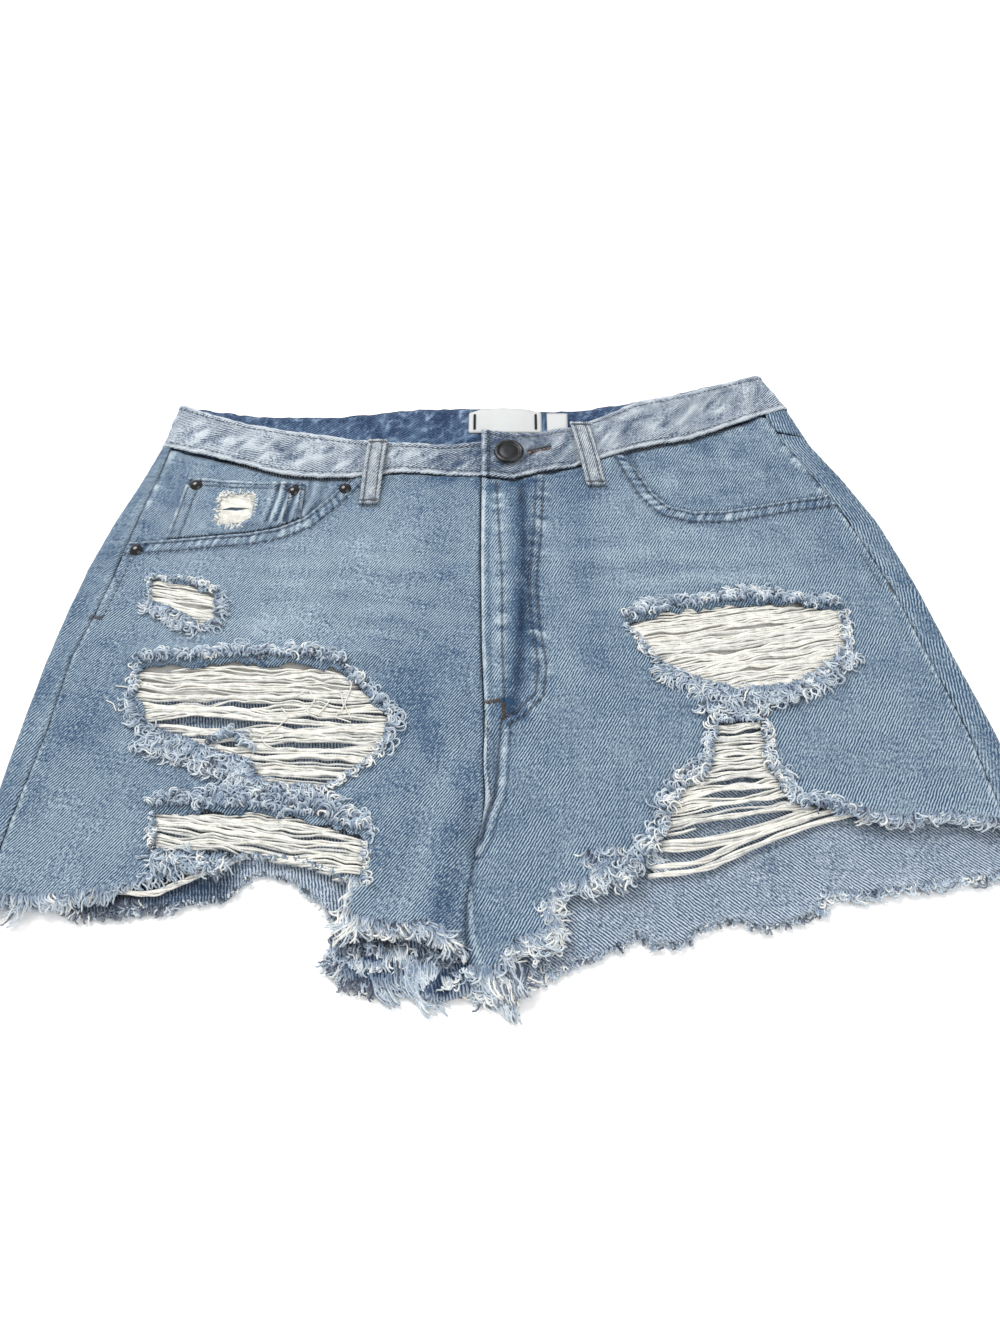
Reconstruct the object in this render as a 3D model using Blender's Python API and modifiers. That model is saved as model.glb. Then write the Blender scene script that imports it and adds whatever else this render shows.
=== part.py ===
"""Cut-off denim shorts, lying flat with the front up.

Every piece of cloth is a thin wall over one shared set of surfaces.  The back
panels and yokes lie on the surface below, roll round the two sides and come
up to the side seams.  The front panels lie over them.  The waistband is one
loop.  Each panel is a sheet, cut to its outline by a prism, and the rips are
cut through it the same way.

Tables are in millimetres, measured from the crotch, which is where the centre
front seam meets the two legs: X to the wearer's left, Y up to the waist.
"""
import math
import random
from collections import namedtuple

import bmesh
import bpy
from mathutils import Vector

MM = 0.001
ORIGIN_X = 14.2          # the part's origin lies this far from the crotch
ORIGIN_Y = 102.4

CLOTH = 1.2              # wall of one layer of denim
BAND = 2.4               # the waistband is two layers
COTTON = 1.0             # pocket bags, labels
SEAM_GAP = 0.3           # between two pieces that meet
BODY = 5.8               # height of the garment, front panel over back panel
BAND_TOP = 6.6           # height of the garment at the waistband
SIDE_ROLL = 4.5          # how far the side fold reaches in from the outline
LATTICE = 13.0           # spacing of a front sheet's points
FLAT = 400.0             # spacing where a sheet is flat
ROW_SPACING = 18.0       # spacing of the sections up the back
LATTICE_START = (0.37, 0.23)
CUT_DEPTH = 60.0         # half height of a cutting prism
STRIP_WIDTH = 1.5        # backing strip of a fringe
STRIP_DEPTH = 0.9
FLY_STEP = 0.9           # the fly is one layer thicker, so its edge stands proud

COLOURS = {
    "denim": (0.27, 0.40, 0.58), "inside": (0.45, 0.53, 0.62),
    "band": (0.30, 0.43, 0.60), "weft": (0.86, 0.85, 0.80),
    "fray": (0.55, 0.66, 0.79), "cotton": (0.88, 0.87, 0.84),
    "metal": (0.03, 0.03, 0.03), "thread": (0.55, 0.38, 0.24),
}

Side = namedtuple("Side", "y right_edge right_seam left_seam left_edge")
SIDES = [
    Side(-90, -227, -219, 242, 257),
    Side(-40, -226, -217, 241, 256),
    Side(0, -224, -213, 238, 253),
    Side(50, -220, -206, 231, 245),
    Side(90, -216, -203, 221, 235),
    Side(115, -212, -196, 215, 229),
    Side(145, -207, -191, 207, 222),
    Side(175, -199, -186, 196, 213),
    Side(205, -189, -180, 183, 199),
    Side(230, -182, -176, 170, 185),
    Side(262, -178, -172, 158, 174),
    Side(290, -174, -168, 148, 163),
]

Band = namedtuple("Band", "x bottom top")
BAND_RIGHT = [
    Band(-182, 228, 263), Band(-159, 222, 253), Band(-135, 215, 245),
    Band(-112, 207, 240), Band(-90, 205, 236), Band(-73, 205, 233),
    Band(-46, 209, 231), Band(-24, 207.6, 230), Band(-2, 206.6, 233),
    Band(24, 207, 233),
]
BAND_LEFT = [
    Band(-2, 206, 240), Band(16, 203, 237), Band(31, 208, 237),
    Band(51, 213, 243), Band(68, 220, 251), Band(88, 227, 262),
    Band(116, 233, 269), Band(140, 243, 277), Band(162, 253, 284),
    Band(176, 257, 286),
]
BAND_BACK = [
    Band(-182, 228, 263), Band(-154, 222, 258), Band(-130, 219, 254),
    Band(-84, 220, 254), Band(-38, 226, 260), Band(9, 227, 261),
    Band(32, 225, 258), Band(55, 226, 259), Band(79, 231, 264),
    Band(103, 236, 269), Band(127, 243, 277), Band(152, 250, 284),
    Band(176, 257, 286),
]
BAND_RIGHT_EDGE = (-182.0, -177.0)      # outline at the band's bottom and top
BAND_LEFT_EDGE = (176.0, 163.0)
UNDERLAP_END = 24.0
OVERLAP_END = -1.5

# Soft creases of the front: from one end to the other, how wide and how high.
Crease = namedtuple("Crease", "x0 y0 x1 y1 reach height")
CREASES = [
    Crease(18, 190, 19, 80, 11, 1.6),        # ridge of the fly
    Crease(31, 185, 30, 85, 9, -1.2),        # trough beside the fly stitching
    Crease(-12, 70, -62, -45, 14, 1.8),      # drag lines from the crotch
    Crease(-8, 20, -28, -50, 11, 2.0),
    Crease(-40, 60, -95, 0, 13, -1.0),
    Crease(20, 30, 60, -30, 15, 1.2),
    Crease(60, 40, 40, 150, 24, 1.0),
    Crease(-30, 190, -40, 110, 20, 1.1),
    Crease(-75, 150, -15, 138, 12, 0.8),     # pressed lines across the hip
    Crease(-80, 118, -20, 108, 11, 0.8),
    Crease(50, 150, 120, 158, 12, 0.9),
    Crease(-190, 120, -200, 20, 14, 1.3),    # long soft swell down each side
    Crease(206, 130, 226, 20, 14, 1.3),
    Crease(-172, 92, -50, 92, 8, 1.8),       # lifted lips of the rips
    Crease(-150, 16, -60, 14, 8, 1.7),
    Crease(72, 117, 184, 127, 8, 1.9),
    Crease(95, 66, 170, 74, 8, 1.5),
    Crease(-57, -40, -10, -48, 18, 1.8),     # hem of the right leg gapes
    Crease(20, -50, 70, -18, 12, 2.0),
    Crease(166, 10, 240, 6, 12, 1.6),
]

CENTRE = [  # centre front seam, then the line between the legs
    (-1, 212), (-1, 155), (0, 96), (2, 55), (1, 31), (3, 15), (1, 4),
    (-2, -7), (-5, -30), (-7, -44), (-4, -58), (-2, -95),
]
SCOOP_RIGHT = [
    (-192, 161), (-173, 162), (-145, 165), (-126, 167), (-110, 170.5),
    (-97, 177), (-86, 189), (-73, 206),
]
SCOOP_LEFT = [
    (77, 232), (86, 209), (93, 194), (100, 186), (114, 181.5), (131, 182),
    (150, 186), (169, 190), (196, 194),
]
HEM_FRONT_RIGHT = [
    (-240, -31), (-200, -30), (-166, -30), (-152, -25), (-118, -15),
    (-104, -12), (-78, -14), (-54, -24), (-58, -38), (-48, -42), (-35, -45),
    (-24, -42), (-17, -46), (-7, -52),
]
HEM_FRONT_LEFT = [
    (-6, -60), (10, -63), (13, -53), (27, -51), (34, -46), (30, -38),
    (37, -26), (50, -23), (54, -16), (63, -22), (70, -19), (110, -12),
    (150, 5), (166, 13), (178, 8), (191, 6), (213, 8), (240, 4), (262, 3),
]
HEM_BACK_RIGHT = [
    (-240, -36), (-206, -37), (-165, -38), (-130, -33), (-111, -31),
    (-100, -19), (-83, -22), (-70, -32), (-60, -42), (-61, -60), (-52, -69),
    (-38, -71), (-27, -69), (-19, -75), (-4, -71),
]
HEM_BACK_LEFT = [
    (-4, -72), (13, -75), (18, -67), (37, -60), (57, -53), (70, -45),
    (74, -50), (88, -50), (93, -44), (111, -39), (123, -43), (148, -36),
    (153, -25), (166, -28), (193, -24), (221, -20), (262, -15),
]
YOKE_SEAM = [(-240, 206), (-188, 205), (-100, 184), (0, 160), (90, 188),
             (170, 231), (240, 240)]

RIPS = {
    "a": [(-172, 137), (-154, 134), (-136, 126), (-135, 111), (-141, 108),
          (-153, 116), (-170, 124)],
    "b": [(-168, 83), (-146, 85), (-116, 86), (-86, 86), (-68, 82),
          (-57, 71), (-44, 57), (-46, 44), (-54, 33), (-72, 21), (-101, 22),
          (-109, 34), (-126, 38), (-140, 45), (-157, 51), (-168, 69)],
    "c": [(-148, 8), (-121, 9), (-93, 7), (-71, 3), (-52, -4), (-50, -26),
          (-80, -24), (-110, -18), (-112, -13), (-145, -10)],
    "d": [(73, 109), (97, 116), (128, 120), (152, 121), (183, 119),
          (181, 95), (169, 84), (149, 73), (123, 71), (106, 77), (87, 88)],
    "e": [(112, 54), (135, 56), (133, 33), (143, 14), (166, 9), (168, -8),
          (110, -22), (66, -27), (70, -15), (80, -4), (86, 8), (92, 19),
          (106, 30)],
}
COIN_RIP = [(-143, 193), (-125, 194), (-125, 178), (-131, 173), (-143, 173)]

# White weft threads kept across each rip, and the gaps open between them.
WEFTS = {
    "a": [(-171, 136), (-154, 133), (-137, 125), (-136, 112), (-141, 109),
          (-153, 117), (-169, 125)],
    "b": [(-167, 80), (-116, 83.5), (-70, 80), (-58, 70), (-45, 56),
          (-47, 44), (-55, 34), (-72, 22), (-100, 23), (-108, 35),
          (-126, 39), (-155, 52), (-167, 69)],
    "c": [(-147, 7), (-121, 7.5), (-93, 5), (-71, 1), (-53, -6), (-52, -21),
          (-77, -14), (-98, -9), (-125, -9.5), (-144, -7.5)],
    "d": [(74, 108), (128, 117), (182, 115), (180, 96), (168, 85),
          (149, 74), (123, 72), (106, 78), (88, 89)],
    "e": [(113, 53), (134, 55), (132, 33), (142, 14), (160, 10), (122, -3),
          (84, -8), (87, 8), (93, 19), (107, 30)],
}
Gap = namedtuple("Gap", "rip x0 y0 x1 y1 height")
WEFT_GAPS = [
    Gap("a", -165, 122, -140, 118, 1.6),
    Gap("b", -133, 67, -102, 63, 4.4), Gap("b", -156, 57, -104, 50, 5.4),
    Gap("b", -98, 43, -62, 41, 3.6), Gap("b", -98, 75, -70, 74, 2.0),
    Gap("b", -124, 44.5, -112, 43, 2.4),
    Gap("c", -140, -1, -100, 0, 2.0),
    Gap("d", 120, 106, 160, 111, 2.6), Gap("d", 100, 92, 150, 97, 2.0),
    Gap("e", 116, 44, 131, 45, 2.4), Gap("e", 112, 28, 130, 30, 3.0),
    Gap("e", 98, 16, 132, 20, 3.4), Gap("e", 92, 4, 138, 8.5, 4.2),
]

Strand = namedtuple("Strand", "name points thickness")
LONG_STRANDS = [
    Strand("weft_strand_c", [(-160, -32, 2.9), (-140, -33, 2.9),
                             (-118, -26, 3.0), (-102, -15.5, 3.4)], 2.0),
    Strand("weft_strand_e", [(73, -26.5, 3.0), (101, -23, 3.0),
                             (130, -15, 3.0), (163, 3.5, 3.6)], 2.6),
]

Fringe = namedtuple("Fringe", "name line rows length lie")
# lie: "hem" hangs past an edge; "lip" lies on the panel beside a rip.
RIP_LIPS = [
    Fringe("fray_a", [(-174, 140), (-156, 138), (-146, 134), (-134, 131)],
           8, 5.0, "lip"),
    Fringe("fray_b_top", [(-172, 87), (-146, 90), (-112, 92), (-84, 93),
                          (-64, 88), (-52, 74), (-40, 62)], 20, 6.0, "lip"),
    Fringe("fray_b_low", [(-109, 29.5), (-128, 33.5), (-142, 40),
                          (-158, 46)], 11, 6.0, "lip"),
    Fringe("fray_c_top", [(-153, 12), (-120, 13), (-92, 11), (-68, 7),
                          (-50, 1)], 22, 5.0, "lip"),
    Fringe("fray_d_top", [(69, 112), (96, 121), (128, 125), (152, 127),
                          (184, 124)], 17, 6.0, "lip"),
    Fringe("fray_d_low", [(184, 88), (172, 79), (151, 67), (124, 65),
                          (102, 72), (86, 82)], 17, 7.0, "lip"),
]

BUTTON = (14.0, 221.0, 8.3)              # x, y, radius
BUTTONHOLE = (24.5, 222.2, 38.0, 226.0)
RIVETS = {"rivet_coin_right": (-158, 200), "rivet_coin_left": (-104, 196),
          "rivet_pocket_top": (-76, 197.5), "rivet_pocket_side": (-183, 156)}
RIVET_RADIUS = 3.4
LOOPS = {"belt_loop_right": (-61, 184, -60.5, 231),
         "belt_loop_left": (62, 199, 54, 244)}
LOOP_WIDTH = 11.0
LABELS = {"label_main": [(-9, 241), (-9, 256), (-2, 259), (11, 260.3),
                         (25, 259), (33, 256), (33, 241)],
          "label_size": [(36, 242), (36, 256), (48, 256), (48, 242)]}


# ---------------------------------------------------------------- numbers

def between(rows, at, column, key=0):
    """A table's column at a place between its rows, eased at each row."""
    rows = sorted(rows, key=lambda row: row[key])
    spot = list(rows[0]._fields).index(column)
    if at <= rows[0][key]:
        return rows[0][spot]
    for low, high in zip(rows, rows[1:]):
        if at <= high[key]:
            share = (at - low[key]) / (high[key] - low[key])
            return low[spot] + share * (high[spot] - low[spot])
    return rows[-1][spot]


def eased(share):
    """0 to 1 with a level start and end."""
    share = min(1.0, max(0.0, share))
    return share * share * (3 - 2 * share)


def off_segment(x, y, x0, y0, x1, y1):
    """Distance from a point to a segment."""
    run, rise = x1 - x0, y1 - y0
    share = ((x - x0) * run + (y - y0) * rise) / (run * run + rise * rise)
    share = min(1.0, max(0.0, share))
    return math.hypot(x - x0 - share * run, y - y0 - share * rise)


def centre_at(y):
    """X of the centre front seam, or of the line between the legs."""
    for (xa, ya), (xb, yb) in zip(CENTRE, CENTRE[1:]):
        if yb <= y <= ya:
            return xb + (xa - xb) * (y - yb) / (ya - yb)
    return CENTRE[0][0] if y > CENTRE[0][1] else CENTRE[-1][0]


def front_height(x, y):
    """Outer height of the front at a point: level cloth, creases, and the
    groove where the two legs meet."""
    height = BODY
    for crease in CREASES:
        away = off_segment(x, y, crease.x0, crease.y0, crease.x1, crease.y1)
        height += crease.height * eased(1 - away / crease.reach)
    height = min(height, BODY + 1.8)
    groove = eased((12 - y) / 30) * eased(1 - abs(x - centre_at(y)) / 13)
    return height - groove * (height - 2 * CLOTH - SEAM_GAP - 0.2)


def level_height(x, y):
    """The front without its creases, for what lies inside it."""
    return BODY


def left_front_height(x, y):
    """The left front, whose fly is folded double down to its bartack."""
    fly = eased((36 - x) / 6) * eased((y - 48) / 8)
    return front_height(x, y) + FLY_STEP * fly


def inset(outline, distance):
    """A closed outline moved in by a distance, corner by corner."""
    count = len(outline)
    area = sum(outline[i][0] * outline[(i + 1) % count][1]
               - outline[(i + 1) % count][0] * outline[i][1]
               for i in range(count))
    turn = 1 if area > 0 else -1
    moved = []
    for i, corner in enumerate(outline):
        before = Vector(corner) - Vector(outline[i - 1])
        after = Vector(outline[(i + 1) % count]) - Vector(corner)
        sides = [Vector((-edge.y, edge.x)).normalized() * turn
                 for edge in (before, after)]
        middle = (sides[0] + sides[1]).normalized()
        reach = distance / max(0.5, middle.dot(sides[0]))
        moved.append(tuple(Vector(corner) + middle * reach))
    return moved


# ---------------------------------------------------------------- Blender

def clear_scene():
    for old in list(bpy.data.objects):
        bpy.data.objects.remove(old, do_unlink=True)


def collection(name):
    made = bpy.data.collections.new(name)
    bpy.context.scene.collection.children.link(made)
    return made


def finish(name):
    """The material of a finish, made once."""
    found = bpy.data.materials.get(name)
    if found:
        return found
    made = bpy.data.materials.new(name)
    made.use_nodes = True
    shader = made.node_tree.nodes["Principled BSDF"]
    shader.inputs["Base Color"].default_value = (*COLOURS[name], 1)
    shader.inputs["Metallic"].default_value = 0.9 if name == "metal" else 0.0
    shader.inputs["Roughness"].default_value = 0.4 if name == "metal" else 0.9
    return made


def world(x, y, z):
    """A point of the tables in the part's frame, in metres."""
    return Vector(((x - ORIGIN_X) * MM, (y - ORIGIN_Y) * MM, z * MM))


def add_object(name, cage, finish_name):
    mesh = bpy.data.meshes.new(name)
    cage.to_mesh(mesh)
    cage.free()
    made = bpy.data.objects.new(name, mesh)
    made.data.materials.append(finish(finish_name))
    GARMENT.objects.link(made)
    return made


def sheet(name, columns, rows, place, thickness, finish_name, turned=False):
    """A grid of points put in place by a rule, given the cloth's wall."""
    cage = bmesh.new()
    bmesh.ops.create_grid(cage, x_segments=columns, y_segments=rows, size=1)
    for corner in cage.verts:
        i = round((corner.co.x + 1) / 2 * columns)
        j = round((corner.co.y + 1) / 2 * rows)
        corner.co = world(*place(i, j))
    if turned:
        bmesh.ops.reverse_faces(cage, faces=cage.faces)
    piece = add_object(name, cage, finish_name)
    wall = piece.modifiers.new("Wall", "SOLIDIFY")
    wall.thickness = thickness * MM
    wall.offset = -1
    wall.use_even_offset = True
    return piece


def block_grid(columns, rows):
    """A closed slab of one layer of cells; its corners run from -1 to 1
    across, and from 0 to 1 up."""
    cage = bmesh.new()
    bmesh.ops.create_grid(cage, x_segments=columns, y_segments=rows, size=1)
    grown = bmesh.ops.extrude_face_region(cage, geom=list(cage.faces))
    for corner in grown["geom"]:
        if isinstance(corner, bmesh.types.BMVert):
            corner.co.z = 1
    cage.verts.sort(key=lambda corner: order_key([corner]))
    cage.edges.sort(key=lambda edge: order_key(edge.verts))
    cage.faces.sort(key=lambda face: order_key(face.verts))
    return cage


def order_key(corners):
    """A number that rises across, then up, so that every run numbers the
    cells of a slab alike."""
    total = sum((corner.co for corner in corners), Vector())
    middle = total / len(corners)
    return round(middle.x * 1e4 + middle.y * 1e2 + middle.z, 3)


def front_sheet(name, outline, thickness, finish_name, drop=0.0,
                height=front_height, step=LATTICE, inside=BODY):
    """A wall on the front's surface, wide enough for an outline.  Its outer
    points carry the creases, over an inside that only follows them down.
    They are on one lattice, so that sheets over each other run alike."""
    xs, ys = zip(*outline)
    first = math.floor(min(xs) / step) - 1
    low = math.floor(min(ys) / step) - 1
    columns = math.ceil(max(xs) / step) + 1 - first
    rows = math.ceil(max(ys) / step) + 1 - low
    cage = block_grid(columns, rows)
    for corner in cage.verts:
        i = round((corner.co.x + 1) / 2 * columns)
        j = round((corner.co.y + 1) / 2 * rows)
        x = (first + i) * step + LATTICE_START[0]
        y = (low + j) * step + LATTICE_START[1]
        z = height(x, y) - drop
        if corner.co.z < 0.5:
            z = min(z, inside - drop) - thickness
        corner.co = world(x, y, z)
    bmesh.ops.recalc_face_normals(cage, faces=cage.faces)
    bmesh.ops.dissolve_limit(cage, angle_limit=0.0005, verts=cage.verts,
                             edges=cage.edges)
    return add_object(name, cage, finish_name)


def prism(name, outline):
    """A tall prism over an outline, to cut with."""
    curve = bpy.data.curves.new(name, "CURVE")
    curve.dimensions = "2D"
    curve.fill_mode = "BOTH"
    curve.extrude = CUT_DEPTH * MM
    spline = curve.splines.new("POLY")
    spline.points.add(len(outline) - 1)
    for point, (x, y) in zip(spline.points, outline):
        point.co = (*world(x, y, 0), 1)
    spline.use_cyclic_u = True
    pattern = bpy.data.objects.new(name + "_pattern", curve)
    CUTTERS.objects.link(pattern)
    bpy.context.view_layer.update()
    graph = bpy.context.evaluated_depsgraph_get()
    mesh = bpy.data.meshes.new_from_object(pattern.evaluated_get(graph))
    cage = bmesh.new()
    cage.from_mesh(mesh)
    bmesh.ops.remove_doubles(cage, verts=cage.verts, dist=0.01 * MM)
    bmesh.ops.recalc_face_normals(cage, faces=cage.faces)
    cage.to_mesh(mesh)
    cage.free()
    bpy.data.objects.remove(pattern, do_unlink=True)
    cutter = bpy.data.objects.new(name, mesh)
    CUTTERS.objects.link(cutter)
    cutter.hide_render = True
    cutter.display_type = "WIRE"
    return cutter


def cut(piece, outline, operation):
    number = len(piece.modifiers)
    boolean = piece.modifiers.new(f"Cut {number}", "BOOLEAN")
    boolean.operation = operation
    boolean.solver = "EXACT"
    boolean.object = prism(f"{piece.name}_cut_{number}", outline)


def cut_to(piece, outline):
    cut(piece, inset(outline, SEAM_GAP / 2), "INTERSECT")


def cut_out(piece, outline):
    cut(piece, outline, "DIFFERENCE")


# ---------------------------------------------------------------- the back

def roll_section(side, y):
    """Outer points across the back at one height: from the centre out along
    the underside, round the side fold, and in to the side seam."""
    edge = between(SIDES, y, side + "_edge")
    seam = between(SIDES, y, side + "_seam")
    out = 1 if side == "left" else -1
    middle = centre_at(min(y, 0)) - out * 4 if y < 0 else -out * 4
    inner = edge - out * SIDE_ROLL
    points = []
    for share in (0, 0.25, 0.5, 0.75):
        points.append((middle + (inner - middle) * share, 0.0))
    top = front_height(seam, y)
    for turn in range(7):
        angle = math.pi * turn / 6
        points.append((inner + out * SIDE_ROLL * math.sin(angle),
                       top / 2 * (1 - math.cos(angle))))
    last = seam + out * SEAM_GAP * 0.7
    points.append(((inner + last) / 2, front_height((inner + last) / 2, y)))
    points.append((last, front_height(last, y)))
    return points


def back_sheet(name, side, low, high, finish_name):
    """The underside of one half with its side fold, from low to high."""
    stops = [low] + [row.y for row in SIDES if low < row.y < high] + [high]
    heights = [low]
    for start, end in zip(stops, stops[1:]):
        pieces = math.ceil((end - start) / ROW_SPACING)
        heights += [start + (end - start) * k / pieces
                    for k in range(1, pieces + 1)]
    sections = [roll_section(side, y) for y in heights]

    def place(i, j):
        x, z = sections[j][i]
        return x, heights[j], z

    columns = len(sections[0]) - 1
    rows = len(heights) - 1
    return sheet(name, columns, rows, place, CLOTH, finish_name,
                 turned=(side == "left"))


def side_line(side, low, high, shift=0.0):
    """The side seam as outline points, from low to high."""
    out = 1 if side == "left" else -1
    ys = [low] + [row.y for row in SIDES if low < row.y < high] + [high]
    return [(between(SIDES, y, side + "_seam") + out * shift, y) for y in ys]


def leg_line(low, high):
    inner = [(x, y) for x, y in CENTRE if low < y < high]
    return [(centre_at(high), high), *inner, (centre_at(low), low)]


def half(side, line):
    """The points of a line on one side of the centre."""
    keep = (lambda x: x < -8) if side == "right" else (lambda x: x > 8)
    return [point for point in line if keep(point[0])]


def make_back():
    for side, hem in (("right", HEM_BACK_RIGHT), ("left", HEM_BACK_LEFT)):
        out = 1 if side == "left" else -1
        wide = out * 275
        seam = half(side, YOKE_SEAM)
        band = [(row.x, row.bottom) for row in BAND_BACK
                if row.x * out > 8]
        band_centre = between(BAND_BACK, 0, "bottom")
        seam_centre = (0, 160)
        legs = leg_line(-90, 0)
        if side == "right":
            yoke = [(wide, 206), *seam, seam_centre, (0, band_centre),
                    *reversed(band), (wide, 228)]
            panel = [(wide, -36), *hem[1:-1], (centre_at(-71), -71),
                     *reversed(leg_line(-71, 0)[:-1]), seam_centre,
                     *reversed(seam), (wide, 206)]
        else:
            yoke = [seam_centre, *seam, (wide, 240), (wide, 257),
                    *reversed(band), (0, band_centre)]
            panel = [(centre_at(-72), -72), *hem[1:-1], (wide, -15),
                     (wide, 240), *reversed(seam), seam_centre,
                     *leg_line(-72, 0)[:-1]]
        piece = back_sheet("back_panel_" + side, side, -86, 246, "inside")
        cut_to(piece, panel)
        piece = back_sheet("back_yoke_" + side, side, 140, 268, "denim")
        cut_to(piece, yoke)


# ---------------------------------------------------------------- the front

def band_bottom(rows, low, high):
    inner = [(row.x, row.bottom) for row in rows if low < row.x < high]
    return [(low, between(rows, low, "bottom")), *inner,
            (high, between(rows, high, "bottom"))]


def right_front_outline():
    side = side_line("right", -31, 161)
    hem = [point for point in HEM_FRONT_RIGHT if point[0] > side[0][0]]
    top = band_bottom(BAND_RIGHT, SCOOP_RIGHT[-1][0], -1)
    return [side[0], *hem[:-1], *reversed(leg_line(-52, 203)), *top[::-1][1:],
            *SCOOP_RIGHT[::-1][1:-1], (side[-1][0], 161), *side[::-1][1:-1]]


def left_front_outline():
    side = side_line("left", 3, 193)
    hem = [point for point in HEM_FRONT_LEFT if point[0] < side[0][0]]
    top = band_bottom(BAND_LEFT, -1, SCOOP_LEFT[0][0])
    scoop = [point for point in SCOOP_LEFT[1:] if point[0] < side[-1][0]]
    return [*hem[1:], *side, *reversed(scoop), *reversed(top[1:]),
            *leg_line(-61, 205)]


def make_fronts():
    right = front_sheet("front_panel_right", right_front_outline(), CLOTH,
                       "denim")
    cut_to(right, right_front_outline())
    left = front_sheet("front_panel_left", left_front_outline(), CLOTH,
                        "denim", height=left_front_height)
    cut_to(left, left_front_outline())
    for rip, outline in RIPS.items():
        cut_out(right if rip in "abc" else left, outline)


def lens(gap):
    """An eye-shaped gap between two bundles of thread."""
    run = Vector((gap.x1 - gap.x0, gap.y1 - gap.y0))
    across = Vector((-run.y, run.x)).normalized() * gap.height / 2
    start = Vector((gap.x0, gap.y0))
    shares = ((0, 0), (0.25, -0.8), (0.6, -1), (0.85, -0.6), (1, 0),
              (0.8, 0.7), (0.45, 1), (0.2, 0.7))
    return [tuple(start + run * along + across * off)
            for along, off in shares]


def make_wefts():
    """White threads across the rips, as mats with their gaps cut through."""
    for rip, outline in WEFTS.items():
        mat = front_sheet("weft_" + rip, outline, COTTON, "weft", drop=0.2)
        cut_to(mat, outline)
        for gap in WEFT_GAPS:
            if gap.rip == rip:
                cut_out(mat, lens(gap))
    for strand in LONG_STRANDS:
        curve = bpy.data.curves.new(strand.name, "CURVE")
        curve.dimensions = "3D"
        curve.bevel_depth = strand.thickness / 2 * MM
        curve.bevel_resolution = 1
        curve.use_fill_caps = True
        spline = curve.splines.new("POLY")
        spline.points.add(len(strand.points) - 1)
        for point, place in zip(spline.points, strand.points):
            point.co = (*world(*place), 1)
        piece = bpy.data.objects.new(strand.name, curve)
        weld = piece.modifiers.new("Close the ends", "WELD")
        weld.merge_threshold = 0.05 * MM
        piece.data.materials.append(finish("weft"))
        GARMENT.objects.link(piece)


def make_pockets():
    """Facings under the pocket mouths, the coin pocket and the bags."""
    under = CLOTH + SEAM_GAP
    hidden = 9.0
    side = side_line("right", 152, 227)
    lower = [(x, y - hidden) for x, y in SCOOP_RIGHT[1:-1]]
    facing = [side[0], *lower, (-70, 190), (-70, 205),
              *reversed(band_bottom(BAND_RIGHT, -176, -70)[:-1]),
              *side[::-1][1:-1]]
    piece = front_sheet("pocket_facing_right", facing, CLOTH, "denim", under,
                        level_height, FLAT)
    cut_to(piece, facing)
    side = side_line("left", 184, 250)
    lower = [(x, y - hidden) for x, y in SCOOP_LEFT[1:-1]]
    facing = [(74, 212), *lower, *side,
              *reversed(band_bottom(BAND_LEFT, 72, 158)), (72, 219)]
    piece = front_sheet("pocket_facing_left", facing, CLOTH, "denim", under,
                        level_height, FLAT)
    cut_to(piece, facing)

    coin = [(-163, 206), (-132, 203), (-98, 202), (-98.5, 178.5),
            (-110, 172), (-126, 168.5), (-145, 166.5), (-169, 164)]
    piece = front_sheet("coin_pocket", coin, CLOTH, "denim")
    cut_to(piece, coin)
    cut_out(piece, COIN_RIP)
    piece = front_sheet("weft_coin", COIN_RIP, COTTON, "weft", drop=0.1)
    cut_to(piece, inset(COIN_RIP, SEAM_GAP))

    bags = {
        "right": [(-170, 76), (-160, 69), (-70, 69), (-54, 78), (-50, 196),
                 (-60, 203), (-168, 203), (-176, 190)],
        "left": [(62, 84), (74, 74), (170, 70), (184, 82), (186, 180),
                  (150, 226), (70, 212), (60, 190)],
    }
    for name, outline in bags.items():
        piece = front_sheet("pocket_bag_" + name, outline, COTTON, "cotton",
                            height=lambda x, y: CLOTH + SEAM_GAP + COTTON,
                            step=FLAT)
        cut_to(piece, outline)


# ---------------------------------------------------------------- waistband

def front_band_height(x, end):
    """Outer height of the front waistband; the two ends overlap, the
    wearer's left over the right."""
    if end == "under":
        return BAND_TOP - 1.3 * eased((x + 42) / 36)
    return BAND_TOP + 1.4 * eased((56 - x) / 22)


def band_stops(rows, start, end):
    """X of the sections along one side of the band: its table's rows, with
    more between them where they are far apart."""
    inner = sorted(row.x for row in rows
                   if min(start, end) < row.x < max(start, end))
    if start > end:
        inner.reverse()
    marks = [start, *inner, end]
    stops = [start]
    for first, second in zip(marks, marks[1:]):
        pieces = math.ceil(abs(second - first) / ROW_SPACING)
        stops += [first + (second - first) * k / pieces
                  for k in range(1, pieces + 1)]
    return stops


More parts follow.
